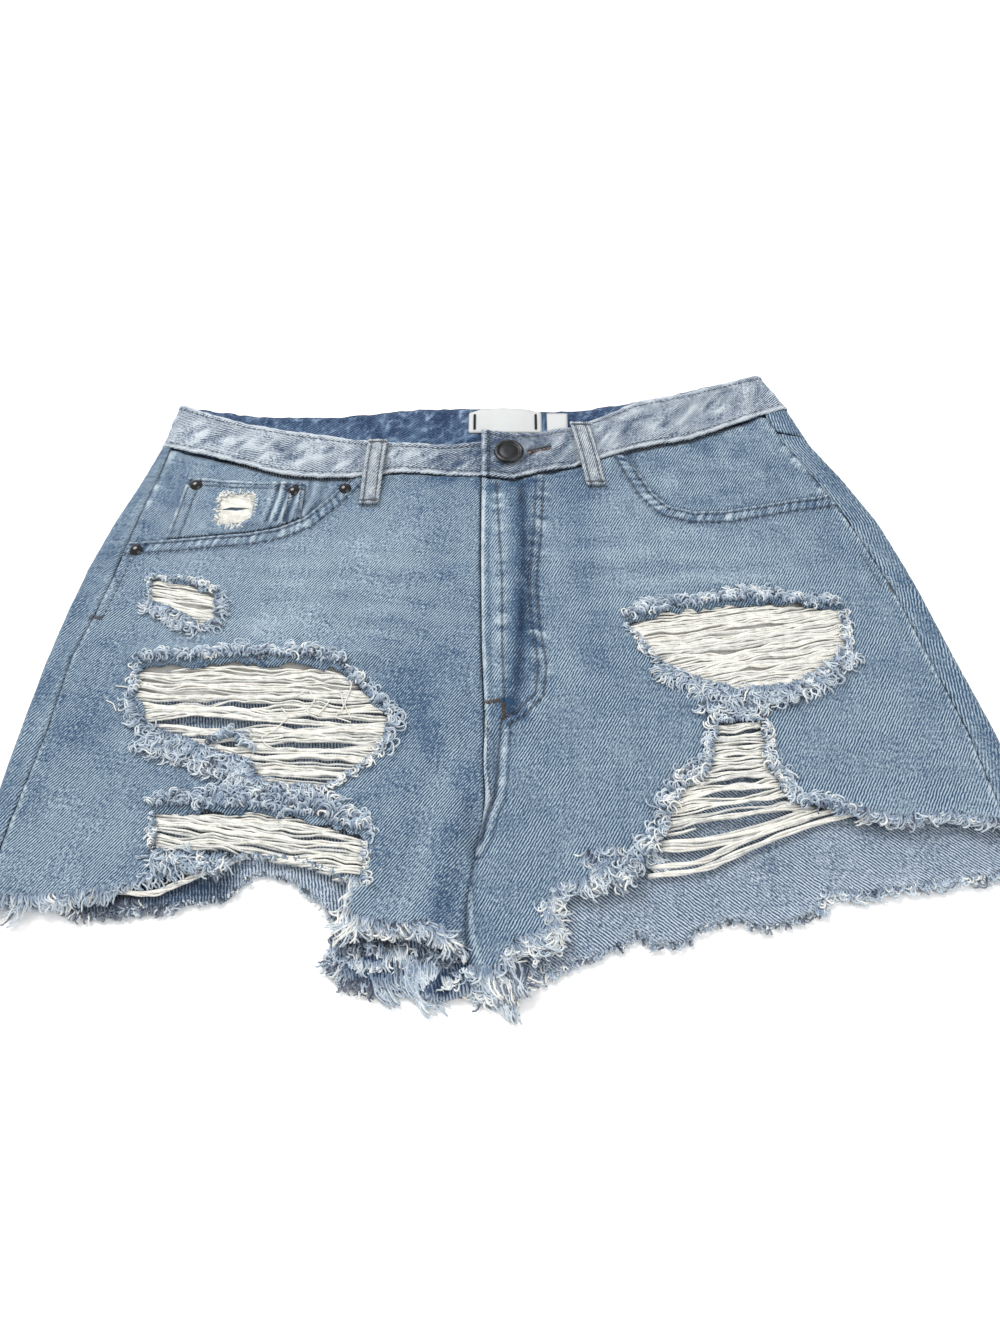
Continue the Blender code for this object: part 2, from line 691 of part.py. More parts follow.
def band_stations():
    """Sections round the waistband loop: for each, its outer point at the
    lower edge and at the upper edge."""
    stations = []
    clear = SEAM_GAP * 0.7

    def along(rows, start, end, height):
        for x in band_stops(rows, start, end):
            low = between(rows, x, "bottom") + clear
            z = height(x)
            stations.append(((x, low, z), (x, between(rows, x, "top"), z)))

    def fold(front_rows, edges, flat_end, falling):
        out = 1 if edges[0] > 0 else -1
        for step in range(-1, 8):
            turn = min(6, max(0, step))
            angle = math.pi * (turn if falling else 6 - turn) / 6
            z = BAND_TOP / 2 * (1 + math.cos(angle))
            rows = front_rows if z > BAND_TOP / 2 else BAND_BACK
            low, high = (edge + out * SIDE_ROLL * (math.sin(angle) - 1)
                         for edge in edges)
            if step != turn:
                low, high = (low + flat_end) / 2, (high + flat_end) / 2
            stations.append((
                (low, between(rows, low, "bottom") + clear, z),
                (high, between(rows, high, "top"), z)))

    right = max(BAND_RIGHT_EDGE) + SIDE_ROLL + 1
    left = min(BAND_LEFT_EDGE) - SIDE_ROLL - 1
    along(BAND_RIGHT, UNDERLAP_END, right,
          lambda x: front_band_height(x, "under"))
    fold(BAND_RIGHT, BAND_RIGHT_EDGE, right, True)
    along(BAND_BACK, right, left, lambda x: 0.0)
    fold(BAND_LEFT, BAND_LEFT_EDGE, left, False)
    along(BAND_LEFT, left, OVERLAP_END,
          lambda x: front_band_height(x, "over"))
    return stations


def make_waistband():
    stations = band_stations()
    rows = 2

    def place(i, j):
        low, high = stations[i]
        share = j / rows
        return tuple(a + (b - a) * share for a, b in zip(low, high))

    sheet("waistband", len(stations) - 1, rows, place, BAND, "band",
          turned=True)
    for name, outline in LABELS.items():
        label = front_sheet(
            name, outline, COTTON, "cotton", step=FLAT,
            height=lambda x, y: BAND + SEAM_GAP + COTTON)
        cut_to(label, outline)
    for name, line in LOOPS.items():
        make_belt_loop(name, *line)


def make_belt_loop(name, x0, y0, x1, y1):
    """A doubled strap from below the waistband to its upper edge, standing
    a little clear of the band between its two bartacks."""
    rise = {"belt_loop_right": (BAND_RIGHT, "under"),
            "belt_loop_left": (BAND_LEFT, "over")}
    rows_table, end = rise[name]
    strap = 1.9
    steps = [  # share of the length, height over what is below
        (0.0, 0.0), (0.12, 0.1), (0.34, 0.9), (0.6, 1.5), (0.86, 1.0),
        (1.0, 0.1),
    ]
    panel = front_height(x0, y0) + SEAM_GAP + strap

    def place(i, j):
        share, proud = steps[j]
        x = x0 + (x1 - x0) * share + (i / 2 - 0.5) * LOOP_WIDTH
        y = y0 + (y1 - y0) * share
        band = front_band_height(x, end) + SEAM_GAP + strap
        over = eased((y - between(rows_table, x, "bottom") + 10) / 8)
        return x, y, panel + (band - panel) * over + proud

    sheet(name, 2, len(steps) - 1, place, strap, "band")


# ---------------------------------------------------------------- fringes

def fringe_height(fringe, x, y):
    if fringe.lie == "lip":
        return lattice_height(x, y) + SEAM_GAP + STRIP_DEPTH / 2 + 0.15
    if fringe.name.startswith("fringe_back"):
        return 0.85
    return lattice_height(x, y) - 0.5


def walk(line, count):
    """About so many stops along a line, its corners among them, with the
    direction that it runs in at each."""
    lengths = [math.dist(a, b) for a, b in zip(line, line[1:])]
    spacing = sum(lengths) / count
    stops = []
    before = Vector((0, 0))
    for a, b, length in zip(line, line[1:], lengths):
        pieces = max(1, round(length / spacing))
        run = Vector(b) - Vector(a)
        ahead = run.normalized()
        stops.append((Vector(a), (before + ahead).normalized()))
        for k in range(1, pieces):
            stops.append((Vector(a) + run * k / pieces, ahead))
        before = ahead
    stops.append((Vector(line[-1]), before))
    return stops


def lattice_height(x, y):
    """Height of the front's lattice at a point, taking the higher of the two
    ways that a cell of it may be folded."""
    across = (x - LATTICE_START[0]) / LATTICE
    up = (y - LATTICE_START[1]) / LATTICE
    i, j = math.floor(across), math.floor(up)
    across, up = across - i, up - j
    low_a, low_b, high_a, high_b = (
        front_height((i + a) * LATTICE + LATTICE_START[0],
                     (j + b) * LATTICE + LATTICE_START[1])
        for a, b in ((0, 0), (1, 0), (0, 1), (1, 1)))
    if across > up:
        first = low_a + (low_b - low_a) * across + (high_b - low_b) * up
    else:
        first = low_a + (high_b - high_a) * across + (high_a - low_a) * up
    if across + up < 1:
        second = low_a + (low_b - low_a) * across + (high_a - low_a) * up
    else:
        second = (high_b + (high_a - high_b) * (1 - across)
                  + (low_b - high_b) * (1 - up))
    return max(first, second)


def turn(a, b, c):
    """Above zero where the way from a over b to c turns left, in plan."""
    return (b.x - a.x) * (c.y - a.y) - (b.y - a.y) * (c.x - a.x)


def cross_in_plan(first, second):
    for a, b in zip(first, first[1:] + first[:1]):
        for c, d in zip(second, second[1:] + second[:1]):
            if (turn(a, b, c) * turn(a, b, d) < 0
                    and turn(c, d, a) * turn(c, d, b) < 0):
                return True
    return False


def lock_stages(fringe, face, lean, length):
    """Where a lock's sections lie and how wide each is against the one
    before: one at its tip, and on a hem one at its knee too."""
    middle = face.calc_center_median()
    out = Vector((face.normal.x, face.normal.y, 0)).normalized()
    sway = Vector((out.y, -out.x, 0)) * lean
    tip = middle + (out + sway).normalized() * length
    if fringe.lie == "lip":
        tip.z = middle.z + 1.0 * MM
        return [(tip, 0.45)]
    knee = middle + (out + sway * 0.5).normalized() * length * 0.5
    floor = 0.6 if fringe.name.startswith("fringe_back") else 1.9
    tip.z = max(floor * MM, middle.z - length * 0.35)
    knee.z = (middle.z + tip.z) / 2
    return [(knee, 0.72), (tip, 0.38)]


def lock_plan(face, stages):
    """The outline of a lock, seen from above."""
    root = max(face.edges, key=lambda edge: edge.calc_length()).verts
    middle = face.calc_center_median()
    sides = []
    for corner in root:
        side = [corner.co.copy()]
        wide = 1.0
        for target, scale in stages:
            wide *= scale
            side.append(target + (corner.co - middle) * wide)
        sides.append(side)
    return sides[0] + sides[1][::-1]


def make_fringe(fringe, outward):
    """A narrow strip of raw edge with locks of thread drawn out of it,
    wherever one fits in beside its neighbours."""
    chance = random.Random(fringe.name)
    stops = walk(fringe.line, fringe.rows)
    cage = block_grid(len(stops) - 1, 1)
    edge_faces = [face for face in cage.faces
                  if all(corner.co.y > 0.5 for corner in face.verts)]
    for corner in cage.verts:
        place = round((corner.co.x + 1) / 2 * (len(stops) - 1))
        middle, run = stops[place]
        side = Vector((run.y, -run.x)) * outward * STRIP_WIDTH
        x, y = middle + side * (corner.co.y + 1) / 2
        z = fringe_height(fringe, *middle) + (corner.co.z - 0.5) * STRIP_DEPTH
        corner.co = world(x, y, z)
    bmesh.ops.recalc_face_normals(cage, faces=cage.faces)
    taken = [[corner.co.copy() for corner in face.verts]
             for face in cage.faces if face.normal.z > 0.7]
    for face in edge_faces:
        for attempt in range(40):
            calm = 1 - attempt / 50
            lean = chance.uniform(-0.7, 0.7) * calm
            length = fringe.length * chance.uniform(0.55, 1.25) * calm * MM
            stages = lock_stages(fringe, face, lean, length)
            plan = lock_plan(face, stages)
            if not any(cross_in_plan(plan, other) for other in taken):
                break
        else:
            continue
        taken.append(plan)
        for target, scale in stages:
            grown = bmesh.ops.extrude_discrete_faces(cage, faces=[face])
            face = grown["faces"][0]
            centre = face.calc_center_median()
            for corner in face.verts:
                corner.co = target + (corner.co - centre) * scale
    bmesh.ops.recalc_face_normals(cage, faces=cage.faces)
    add_object(fringe.name, cage, "fray")


def shifted(line, distance):
    """A line moved sideways, to its right as it runs."""
    moved = []
    for i, point in enumerate(line):
        before = Vector(line[max(0, i - 1)])
        after = Vector(line[min(len(line) - 1, i + 1)])
        run = (after - before).normalized()
        moved.append(tuple(Vector(point) + Vector((run.y, -run.x))
                           * distance))
    return moved


def make_fringes():
    clear = SEAM_GAP + 0.5
    hems = [
        Fringe("fringe_front_right_side", shifted(HEM_FRONT_RIGHT[1:3], clear),
               13, 6.5, "hem"),
        Fringe("fringe_front_right_crotch",
               shifted(HEM_FRONT_RIGHT[8:13], clear), 14, 7.5, "hem"),
        Fringe("fringe_front_left_crotch",
               shifted(HEM_FRONT_LEFT[2:8], clear), 20, 7.5, "hem"),
        Fringe("fringe_front_left_side",
               shifted(HEM_FRONT_LEFT[13:17], clear), 16, 6.5, "hem"),
        Fringe("fringe_back_right_side", shifted(HEM_BACK_RIGHT[1:5], clear),
               14, 4.5, "hem"),
        Fringe("fringe_back_right_crotch",
               shifted(HEM_BACK_RIGHT[9:14], clear), 12, 6.5, "hem"),
        Fringe("fringe_back_left", shifted(HEM_BACK_LEFT[2:16], clear),
               38, 5.0, "hem"),
    ]
    for fringe in hems:
        make_fringe(fringe, 1)
    for fringe in RIP_LIPS:
        make_fringe(fringe, -1)


# ---------------------------------------------------------------- metal

def turned(name, profile, place, finish_name, steps=20):
    """A profile of (radius, height), top to bottom, turned about Z."""
    cage = bmesh.new()
    points = [cage.verts.new((radius * MM, 0, height * MM))
              for radius, height in profile]
    for first, second in zip(points, points[1:]):
        cage.edges.new((first, second))
    piece = add_object(name, cage, finish_name)
    piece.location = world(*place)
    screw = piece.modifiers.new("Turn", "SCREW")
    screw.axis = "Z"
    screw.steps = steps
    screw.render_steps = steps
    screw.use_merge_vertices = True
    screw.merge_threshold = 0.01 * MM
    piece.data.update()
    return piece


def make_metal():
    x, y, radius = BUTTON
    seat = front_band_height(x, "over") + SEAM_GAP
    turned("button", [
        (0, 2.9), (radius * 0.62, 2.7), (radius * 0.74, 2.3),
        (radius * 0.86, 2.7), (radius, 2.1), (radius, 1.4),
        (radius * 0.8, 0.9), (radius * 0.36, 0.7), (radius * 0.36, 0),
        (0, 0)], (x, y, seat), "metal")
    for name, (x, y) in RIVETS.items():
        turned(name, [
            (0, 1.7), (RIVET_RADIUS * 0.45, 1.5), (RIVET_RADIUS * 0.6, 1.0),
            (RIVET_RADIUS, 0.8), (RIVET_RADIUS * 0.95, 0), (0, 0)],
            (x, y, rivet_seat(x, y)), "metal", steps=12)
    x0, y0, x1, y1 = BUTTONHOLE
    run = Vector((x1 - x0, y1 - y0))
    side = Vector((-run.y, run.x)).normalized() * 1.4
    start, end = Vector((x0, y0)), Vector((x1, y1))
    outline = [tuple(start - side), tuple(end - side),
               tuple(end + side), tuple(start + side)]
    hole = front_sheet(
        "buttonhole_stitch", outline, 1.0, "thread", inside=BAND_TOP * 2,
        height=lambda px, py: front_band_height(px, "over")
        + SEAM_GAP + 1.0)
    cut_to(hole, outline)


def rivet_seat(x, y):
    """Just clear of the cloth below the rivet's rim."""
    rim = [(x + RIVET_RADIUS * math.cos(turn), y + RIVET_RADIUS
            * math.sin(turn)) for turn in (0, 1.57, 3.14, 4.71)]
    return max(front_height(*point) for point in rim) + SEAM_GAP + 0.1


clear_scene()
GARMENT = collection("Denim shorts")
CUTTERS = collection("Cutters")
make_back()
make_fronts()
make_wefts()
make_pockets()
make_waistband()
make_fringes()
make_metal()
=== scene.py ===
import math
import random
from collections import namedtuple

import bmesh
import bpy
import numpy as np
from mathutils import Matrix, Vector

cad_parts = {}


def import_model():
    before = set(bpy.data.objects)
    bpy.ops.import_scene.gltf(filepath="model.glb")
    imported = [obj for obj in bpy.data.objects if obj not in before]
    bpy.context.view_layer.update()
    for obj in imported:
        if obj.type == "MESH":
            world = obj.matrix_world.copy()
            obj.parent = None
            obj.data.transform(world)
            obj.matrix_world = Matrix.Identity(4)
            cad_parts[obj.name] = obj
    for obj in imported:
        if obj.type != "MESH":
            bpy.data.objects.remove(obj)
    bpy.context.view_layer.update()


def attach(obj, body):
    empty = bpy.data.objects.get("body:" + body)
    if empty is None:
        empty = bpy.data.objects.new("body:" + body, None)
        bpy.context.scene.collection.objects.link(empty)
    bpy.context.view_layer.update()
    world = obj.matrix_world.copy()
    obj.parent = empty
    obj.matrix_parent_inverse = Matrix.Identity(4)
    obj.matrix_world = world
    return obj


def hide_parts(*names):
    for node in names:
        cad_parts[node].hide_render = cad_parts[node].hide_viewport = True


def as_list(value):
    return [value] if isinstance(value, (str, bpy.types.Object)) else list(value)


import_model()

# Ripped cut-off denim shorts, lying flat with the front up.  Tables are in
# millimetres from the crotch: X to the wearer's left, Y up to the waist and Z
# up from the surface they lie on.

MM = 0.001
CROTCH = (14.2, 102.4)        # the part's origin, in the tables' millimetres
CLOTH = 1.1                   # one layer of denim
COTTON = 0.5                  # one layer of pocketing
FRAY = 0.88                   # thickness of a frayed yarn
WEFT = 1.14                   # of a weft thread across a rip
SEWING = 0.66                 # and of sewing thread
STITCH = 3.3                  # from one stitch to the next
FACING_LEVEL = 4.25           # outer faces of the pocket facings,
BAG_LEVEL = 2.5               # the pocket bags,
LINING_LEVEL = 2.62           # the waistband's inner half
LABEL_LEVEL = 3.45            # and the labels on it
FINE_REACH = 7.0              # how far round a seam a mesh is finer
RIP_FRAY_SEED = 7
HEM_FRAY_SEED = 17
THREAD_SEED = 27
BARTACK_SEED = 37
BODY = 5.8                    # front panel over back panel
BAND = 2.3                    # the waistband's two layers
BAND_TOP = 6.6                # its outer face over the surface, at the sides
SIDE_ROLL = 4.5               # breadth of the back's roll round each side

Side = namedtuple("Side", "y right_edge right_seam left_seam left_edge")
SIDES = [Side(*row) for row in ((-90, -227, -219, 242, 257), (-40, -226, -217, 241, 256),
    (0, -224, -213, 238, 253), (50, -220, -206, 231, 245), (90, -216, -203, 221, 235),
    (115, -212, -196, 215, 229), (145, -207, -191, 207, 222), (175, -199, -186, 196, 213),
    (205, -189, -180, 183, 199), (230, -182, -176, 170, 185), (262, -178, -172, 158, 174),
    (290, -174, -168, 148, 163))]
Band = namedtuple("Band", "x bottom top")
BANDS = {"right": [(-182, 228, 263), (-159, 222, 253), (-135, 215, 245), (-112, 207, 240),
    (-90, 205, 236), (-73, 205, 233), (-46, 209, 231), (-24, 207.6, 230), (-2, 206.6, 233),
    (24, 207, 233)], "left": [(-2, 206, 240), (16, 203, 237), (31, 208, 237), (51, 213, 243),
    (68, 220, 251), (88, 227, 262), (116, 233, 269), (140, 243, 277), (162, 253, 284), (176, 257, 286)],
    "back": [(-182, 228, 263), (-154, 222, 258), (-130, 219, 254), (-84, 220, 254), (-38, 226, 260),
    (9, 227, 261), (32, 225, 258), (55, 226, 259), (79, 231, 264), (103, 236, 269), (127, 243, 277),
    (152, 250, 284), (176, 257, 286)]}
BANDS = {name: [Band(*row) for row in rows] for name, rows in BANDS.items()}
BAND_RIGHT_EDGE = (-182.0, -177.0)    # X of the band's folds, at its lower and its upper edge
BAND_LEFT_EDGE = 176.0, 163.0
OUT = {"left": 1, "right": -1}
UNDERLAP_END = 24.0           # X where the band's under end
OVERLAP_END = -1.5            # and its upper end stop

# Soft creases of the front: from one end to the other, reach and height.
CREASES = [(18, 190, 19, 80, 11, 1.6), (31, 185, 30, 85, 9, -1.2), (-12, 70, -62, -45, 14, 1.8),
    (-8, 20, -28, -50, 11, 2.0), (-40, 60, -95, 0, 13, -1.0), (20, 30, 60, -30, 15, 1.2),
    (60, 40, 40, 150, 24, 1.0), (-30, 190, -40, 110, 20, 1.1), (-75, 150, -15, 138, 12, 0.8),
    (-80, 118, -20, 108, 11, 0.8), (50, 150, 120, 158, 12, 0.9), (-190, 120, -200, 20, 14, 1.3),
    (206, 130, 226, 20, 14, 1.3), (-172, 92, -50, 92, 8, 1.8), (-150, 16, -60, 14, 8, 1.7),
    (72, 117, 184, 127, 8, 1.9), (95, 66, 170, 74, 8, 1.5), (-57, -40, -10, -48, 18, 1.8),
    (20, -50, 70, -18, 12, 2.0), (166, 10, 240, 6, 12, 1.6)]

CENTRE = [(-1, 212), (-1, 155), (0, 96), (2, 55), (1, 31), (3, 15), (1, 4), (-2, -7), (-5, -30),
    (-7, -44), (-4, -58), (-2, -95)]
SCOOPS = {"right": [(-192, 161), (-173, 162), (-145, 165), (-126, 167), (-110, 170.5), (-97, 177),
    (-86, 189), (-73, 206)], "left": [(77, 232), (86, 209), (93, 194), (100, 186), (114, 181.5),
    (131, 182), (150, 186), (169, 190), (196, 194)]}
FRONT_HEMS = {"right": [(-240, -31), (-200, -30), (-166, -30), (-152, -25), (-118, -15), (-104, -12),
    (-78, -14), (-54, -24), (-58, -38), (-48, -42), (-35, -45), (-24, -42), (-17, -46), (-7, -52)],
    "left": [(-6, -60), (10, -63), (13, -53), (27, -51), (34, -46), (30, -38), (37, -26), (50, -23),
    (54, -16), (63, -22), (70, -19), (110, -12), (150, 5), (166, 13), (178, 8), (191, 6), (213, 8),
    (240, 4), (262, 3)]}
BACK_HEMS = {"right": [(-240, -32), (-206, -33), (-180, -34), (-165, -37), (-130, -33), (-111, -31),
    (-100, -19), (-83, -22), (-70, -32), (-60, -42), (-61, -60), (-52, -69), (-38, -71), (-27, -69),
    (-19, -75), (-4, -71)], "left": [(-4, -72), (13, -75), (18, -67), (37, -60), (57, -53), (70, -45),
    (74, -50), (88, -50), (93, -44), (111, -39), (123, -43), (148, -36), (153, -25), (166, -28),
    (193, -24), (221, -20), (262, -15)]}
YOKE_SEAM = [(-240, 206), (-188, 205), (-100, 184), (0, 160), (90, 188), (170, 231), (240, 240)]
RIPS = {"a": [(-172, 137), (-154, 134), (-136, 126), (-135, 111), (-141, 108), (-153, 116),
    (-170, 124)], "b": [(-168, 83), (-146, 85), (-116, 86), (-86, 86), (-68, 82), (-57, 71), (-44, 57),
    (-46, 44), (-54, 33), (-72, 21), (-101, 22), (-109, 34), (-126, 38), (-140, 45), (-157, 51),
    (-168, 69)], "c": [(-148, 8), (-121, 9), (-93, 7), (-71, 3), (-52, -4), (-50, -26), (-80, -24),
    (-110, -18), (-112, -13), (-145, -10)], "d": [(73, 109), (97, 116), (128, 120), (152, 121),
    (183, 119), (181, 95), (169, 84), (149, 73), (123, 71), (106, 77), (87, 88)],
    "e": [(112, 54), (135, 56), (133, 33), (143, 14), (166, 9), (168, -8), (110, -22), (66, -27),
    (70, -15), (80, -4), (86, 8), (92, 19), (106, 30)]}
COIN_RIP = [(-143, 193), (-125, 194), (-125, 178), (-131, 173), (-143, 173)]
COIN_POCKET = [(-163, 206), (-132, 203), (-98, 202), (-98.5, 178.5), (-110, 172), (-126, 168.5),
    (-145, 166.5), (-169, 164)]


# ---- small sums

def world(x, y, z):
    """Millimetres of the tables to metres of the part, as an array."""
    return np.stack([(np.asarray(x) - CROTCH[0]) * MM, (np.asarray(y) - CROTCH[1]) * MM, np.asarray(z)
        * MM + np.zeros(np.shape(x))], axis=-1)


def eased(share):
    share = np.clip(share, 0.0, 1.0)
    return share * share * (3 - 2 * share)


def hump(away, reach):
    return eased(1 - np.abs(away) / reach)


def column(rows, at, name):
    """A table's column at any places between its rows, by their first column."""
    return np.interp(at, [row[0] for row in rows], [getattr(row, name) for row in rows])


FAR = 1e9


def nearest_share(x, y, x0, y0, x1, y1):
    """For each point: the share of a straight stretch at which it is
    nearest, and its distance."""
    run, rise = x1 - x0, y1 - y0
    share = np.clip(((x - x0) * run + (y - y0) * rise) / (run * run + rise * rise), 0, 1)
    return share, np.hypot(x - x0 - share * run, y - y0 - share * rise)


def off_segment(*places):
    return nearest_share(*places)[1]


def off_line(x, y, line):
    """For each point: its distance to a line and how far along it lies."""
    best = np.full(np.shape(x), FAR)
    along = np.zeros(np.shape(x))
    walked = 0.0
    for (x0, y0), (x1, y1) in zip(line, line[1:]):
        length = math.hypot(x1 - x0, y1 - y0)
        if length == 0:
            continue
        share, away = nearest_share(x, y, x0, y0, x1, y1)
        closer = away < best
        best = np.where(closer, away, best)
        along = np.where(closer, walked + share * length, along)
        walked += length
    return best, along


def nearest_on(x, y, loop):
    """The nearest point of a closed outline to each point."""
    best = np.full(np.shape(x), FAR)
    px, py = np.array(x, float), np.array(y, float)
    for (x0, y0), (x1, y1) in zip(loop, loop[1:] + loop[:1]):
        if (x0, y0) == (x1, y1):
            continue
        share, away = nearest_share(x, y, x0, y0, x1, y1)
        closer = away < best
        best = np.where(closer, away, best)
        px = np.where(closer, x0 + share * (x1 - x0), px)
        py = np.where(closer, y0 + share * (y1 - y0), py)
    return px, py, best


def measured(line):
    """A line as an array, with how far along it each of its points lies."""
    line = np.array(line, float)
    steps = np.linalg.norm(np.diff(line, axis=0), axis=1)
    return line, np.concatenate([[0], np.cumsum(steps)])


def ragged(loop, size, seed):
    """An outline with its edge torn a little to and fro."""
    chance = random.Random(seed)
    found = []
    for (x0, y0), (x1, y1) in zip(loop, loop[1:] + loop[:1]):
        long = math.hypot(x1 - x0, y1 - y0)
        count = max(1, round(long / 3.2))
        for k in range(count):
            reach = chance.uniform(-size, size) if k else size * 0.3
            share = k / count
            found.append((x0 + (x1 - x0) * share + (y1 - y0) / long * reach, y0 + (y1 - y0) * share
                - (x1 - x0) / long * reach))
    return found


def inside(x, y, loop):
    """Whether each point lies inside a closed outline."""
    found = np.zeros(np.shape(x), bool)
    for (x0, y0), (x1, y1) in zip(loop, loop[1:] + loop[:1]):
        if y0 == y1:
            continue
        crosses = (y0 > y) != (y1 > y)
        at = x0 + (y - y0) * (x1 - x0) / (y1 - y0)
        found ^= crosses & (x < at)
    return found


def offset_line(line, shift):
    """A line moved to its left."""
    line = np.array(line, float)
    ahead = np.gradient(line, axis=0)
    ahead /= np.linalg.norm(ahead, axis=1)[:, None]
    return line + np.stack([-ahead[:, 1], ahead[:, 0]], axis=-1) * shift


LATTICE = 128
LATTICES = {}


def noise(x, y, seed):
    """Soft noise from -1 to 1, one bump to a unit."""
    if seed not in LATTICES:
        LATTICES[seed] = np.random.default_rng(seed).uniform(-1, 1, (LATTICE, LATTICE))
    i, j = np.floor(x).astype(int), np.floor(y).astype(int)
    u, v = eased(x - i), eased(y - j)
    (a, c), (b, d) = [[LATTICES[seed][column % LATTICE, row % LATTICE] for row in (j, j + 1)] for column
        in (i, i + 1)]
    return (a * (1 - u) + b * u) * (1 - v) + (c * (1 - u) + d * u) * v


def rough(x, y, seed):
    return (noise(x, y, seed) + 0.5 * noise(2.1 * x, 2.1 * y, seed + 1) + 0.25 * noise(4.3 * x, 4.3 * y,
        seed + 2)) / 1.4


def centre_at(y):
    """X of the centre seam and of the groove between the legs, its corners
    eased off."""
    xs, ys = zip(*reversed(CENTRE))
    near = [np.interp(np.asarray(y) + step, ys, xs) for step in (-9, -6, -3, 0, 3, 6, 9)]
    return sum(near) / len(near)


def front_height(x, y):
    """Outer height of the front: level cloth, creases, and the groove where
    the two legs meet."""
    x, y = np.asarray(x, float), np.asarray(y, float)
    height = np.full(np.broadcast(x, y).shape, BODY)
    for x0, y0, x1, y1, reach, rise in CREASES:
        height += rise * hump(off_segment(x, y, x0, y0, x1, y1), reach)
    height = np.minimum(height, BODY + 1.8)
    groove = eased((12 - y) / 30) * hump(x - centre_at(y), 13)
    return height - groove * (height - 2 * CLOTH - 0.5)


def pucker(away, along, reach, pitch, seed):
    """Uneven ridges across a seam, as thread draws the cloth up."""
    beat = noise(along / pitch, along * 0 + 0.37, seed)
    beat += 0.6 * noise(along / pitch * 1.9, away / reach, seed + 1)
    return beat * eased(1 - away / reach)


# ---- making

def tidy_mesh(cage, name):
    mesh = bpy.data.meshes.new(name)
    cage.to_mesh(mesh)
    cage.free()
    return mesh


def read_points(mesh):
    points = np.empty(len(mesh.vertices) * 3)
    mesh.vertices.foreach_get("co", points)
    return points.reshape(-1, 3)


def write_points(mesh, points):
    mesh.vertices.foreach_set("co", np.ascontiguousarray(points).ravel())
    mesh.update()


def paint(mesh, name, values):
    layer = mesh.attributes.new(name, "FLOAT", "POINT")
    layer.data.foreach_set("value", np.asarray(values, np.float32))


def lay_pattern(mesh, u, v):
    """The flat cut's own coordinates, in metres, as the piece's UV map."""
    corners = np.empty(len(mesh.loops), np.int32)
    mesh.loops.foreach_get("vertex_index", corners)
    layer = mesh.uv_layers.new(name="cut")
    pairs = np.stack([u, v], axis=-1)[corners] * MM
    layer.uv.foreach_set("vector", pairs.astype(np.float32).ravel())


def grid_cage(columns, rows):
    cage = bmesh.new()
    bmesh.ops.create_grid(cage, x_segments=columns, y_segments=rows, size=1)
    return cage


def share_grid(name, columns, rows):
    """A flat grid, with the share of its length and of its height at each
    point."""
    mesh = tidy_mesh(grid_cage(columns, rows), name)
    return (mesh, *((read_points(mesh)[:, :2] + 1) / 2).T)


def refine(cage, lines):
    """Halve the mesh's steps near some lines, where the relief is fine."""
    x = np.array([corner.co.x for corner in cage.verts])
    y = np.array([corner.co.y for corner in cage.verts])
    near = np.zeros(len(x), bool)
    for line in lines:
        near |= off_line(x, y, line)[0] < FINE_REACH
    for corner, chosen in zip(cage.verts, near):
        corner.tag = bool(chosen)
    edges = [edge for edge in cage.edges if edge.verts[0].tag and edge.verts[1].tag]
    bmesh.ops.subdivide_edges(cage, edges=edges, cuts=1, use_grid_fill=True)


def cut_flat(name, outline, holes, step, lines=()):
    """A fine flat sheet cut to an outline, its edge drawn on to the outline,
    finer still along some lines.  Gives the mesh, still flat, and its points
    in millimetres."""
    xs, ys = zip(*outline)
    low, high = (min(xs) - 1, min(ys) - 1), (max(xs) + 1, max(ys) + 1)
    columns = round((high[0] - low[0]) / step)
    rows = round((high[1] - low[1]) / step)
    cage = grid_cage(columns, rows)
    flat = np.array([corner.co[:2] for corner in cage.verts])
    flat = (flat + 1) / 2 * (np.array(high) - low) + low
    loops = [list(outline)] + [list(hole) for hole in holes]
    middles = np.array([[corner.index for corner in face.verts] for face in cage.faces])
    mx, my = flat[middles].mean(axis=1).T
    keep = inside(mx, my, loops[0])
    for hole in loops[1:]:
        keep &= ~inside(mx, my, hole)
    for corner, (x, y) in zip(cage.verts, flat):
        corner.co = (x, y, 0)
    bmesh.ops.delete(cage, geom=[face for face, kept in zip(list(cage.faces), keep) if not kept],
        context="FACES")
    if lines:
        refine(cage, lines)
    edge = [corner for corner in cage.verts if corner.is_boundary]
    ex = np.array([corner.co.x for corner in edge])
    ey = np.array([corner.co.y for corner in edge])
    best = np.full(len(edge), FAR)
    for loop in loops:
        qx, qy, away = nearest_on(ex, ey, loop)
        closer = away < best
        best = np.where(closer, away, best)
        for corner, x, y, near in zip(edge, qx, qy, closer):
            if near:
                corner.co.x, corner.co.y = x, y
    mesh = tidy_mesh(cage, name)
    return mesh, read_points(mesh)[:, :2]


def edge_distance(x, y, loops):
    away = np.full(np.shape(x), FAR)
    for loop in loops:
        away = np.minimum(away, nearest_on(x, y, list(loop))[2])
    return away


def put(name, data):
    """A new object in the scene."""
    made = bpy.data.objects.new(name, data)
    bpy.context.scene.collection.objects.link(made)
    return made


def add_piece(name, mesh, materials=()):
    piece = put(name, mesh)
    for material in materials:
        mesh.materials.append(material)
    mesh.shade_smooth()
    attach(piece, "root")
    return piece


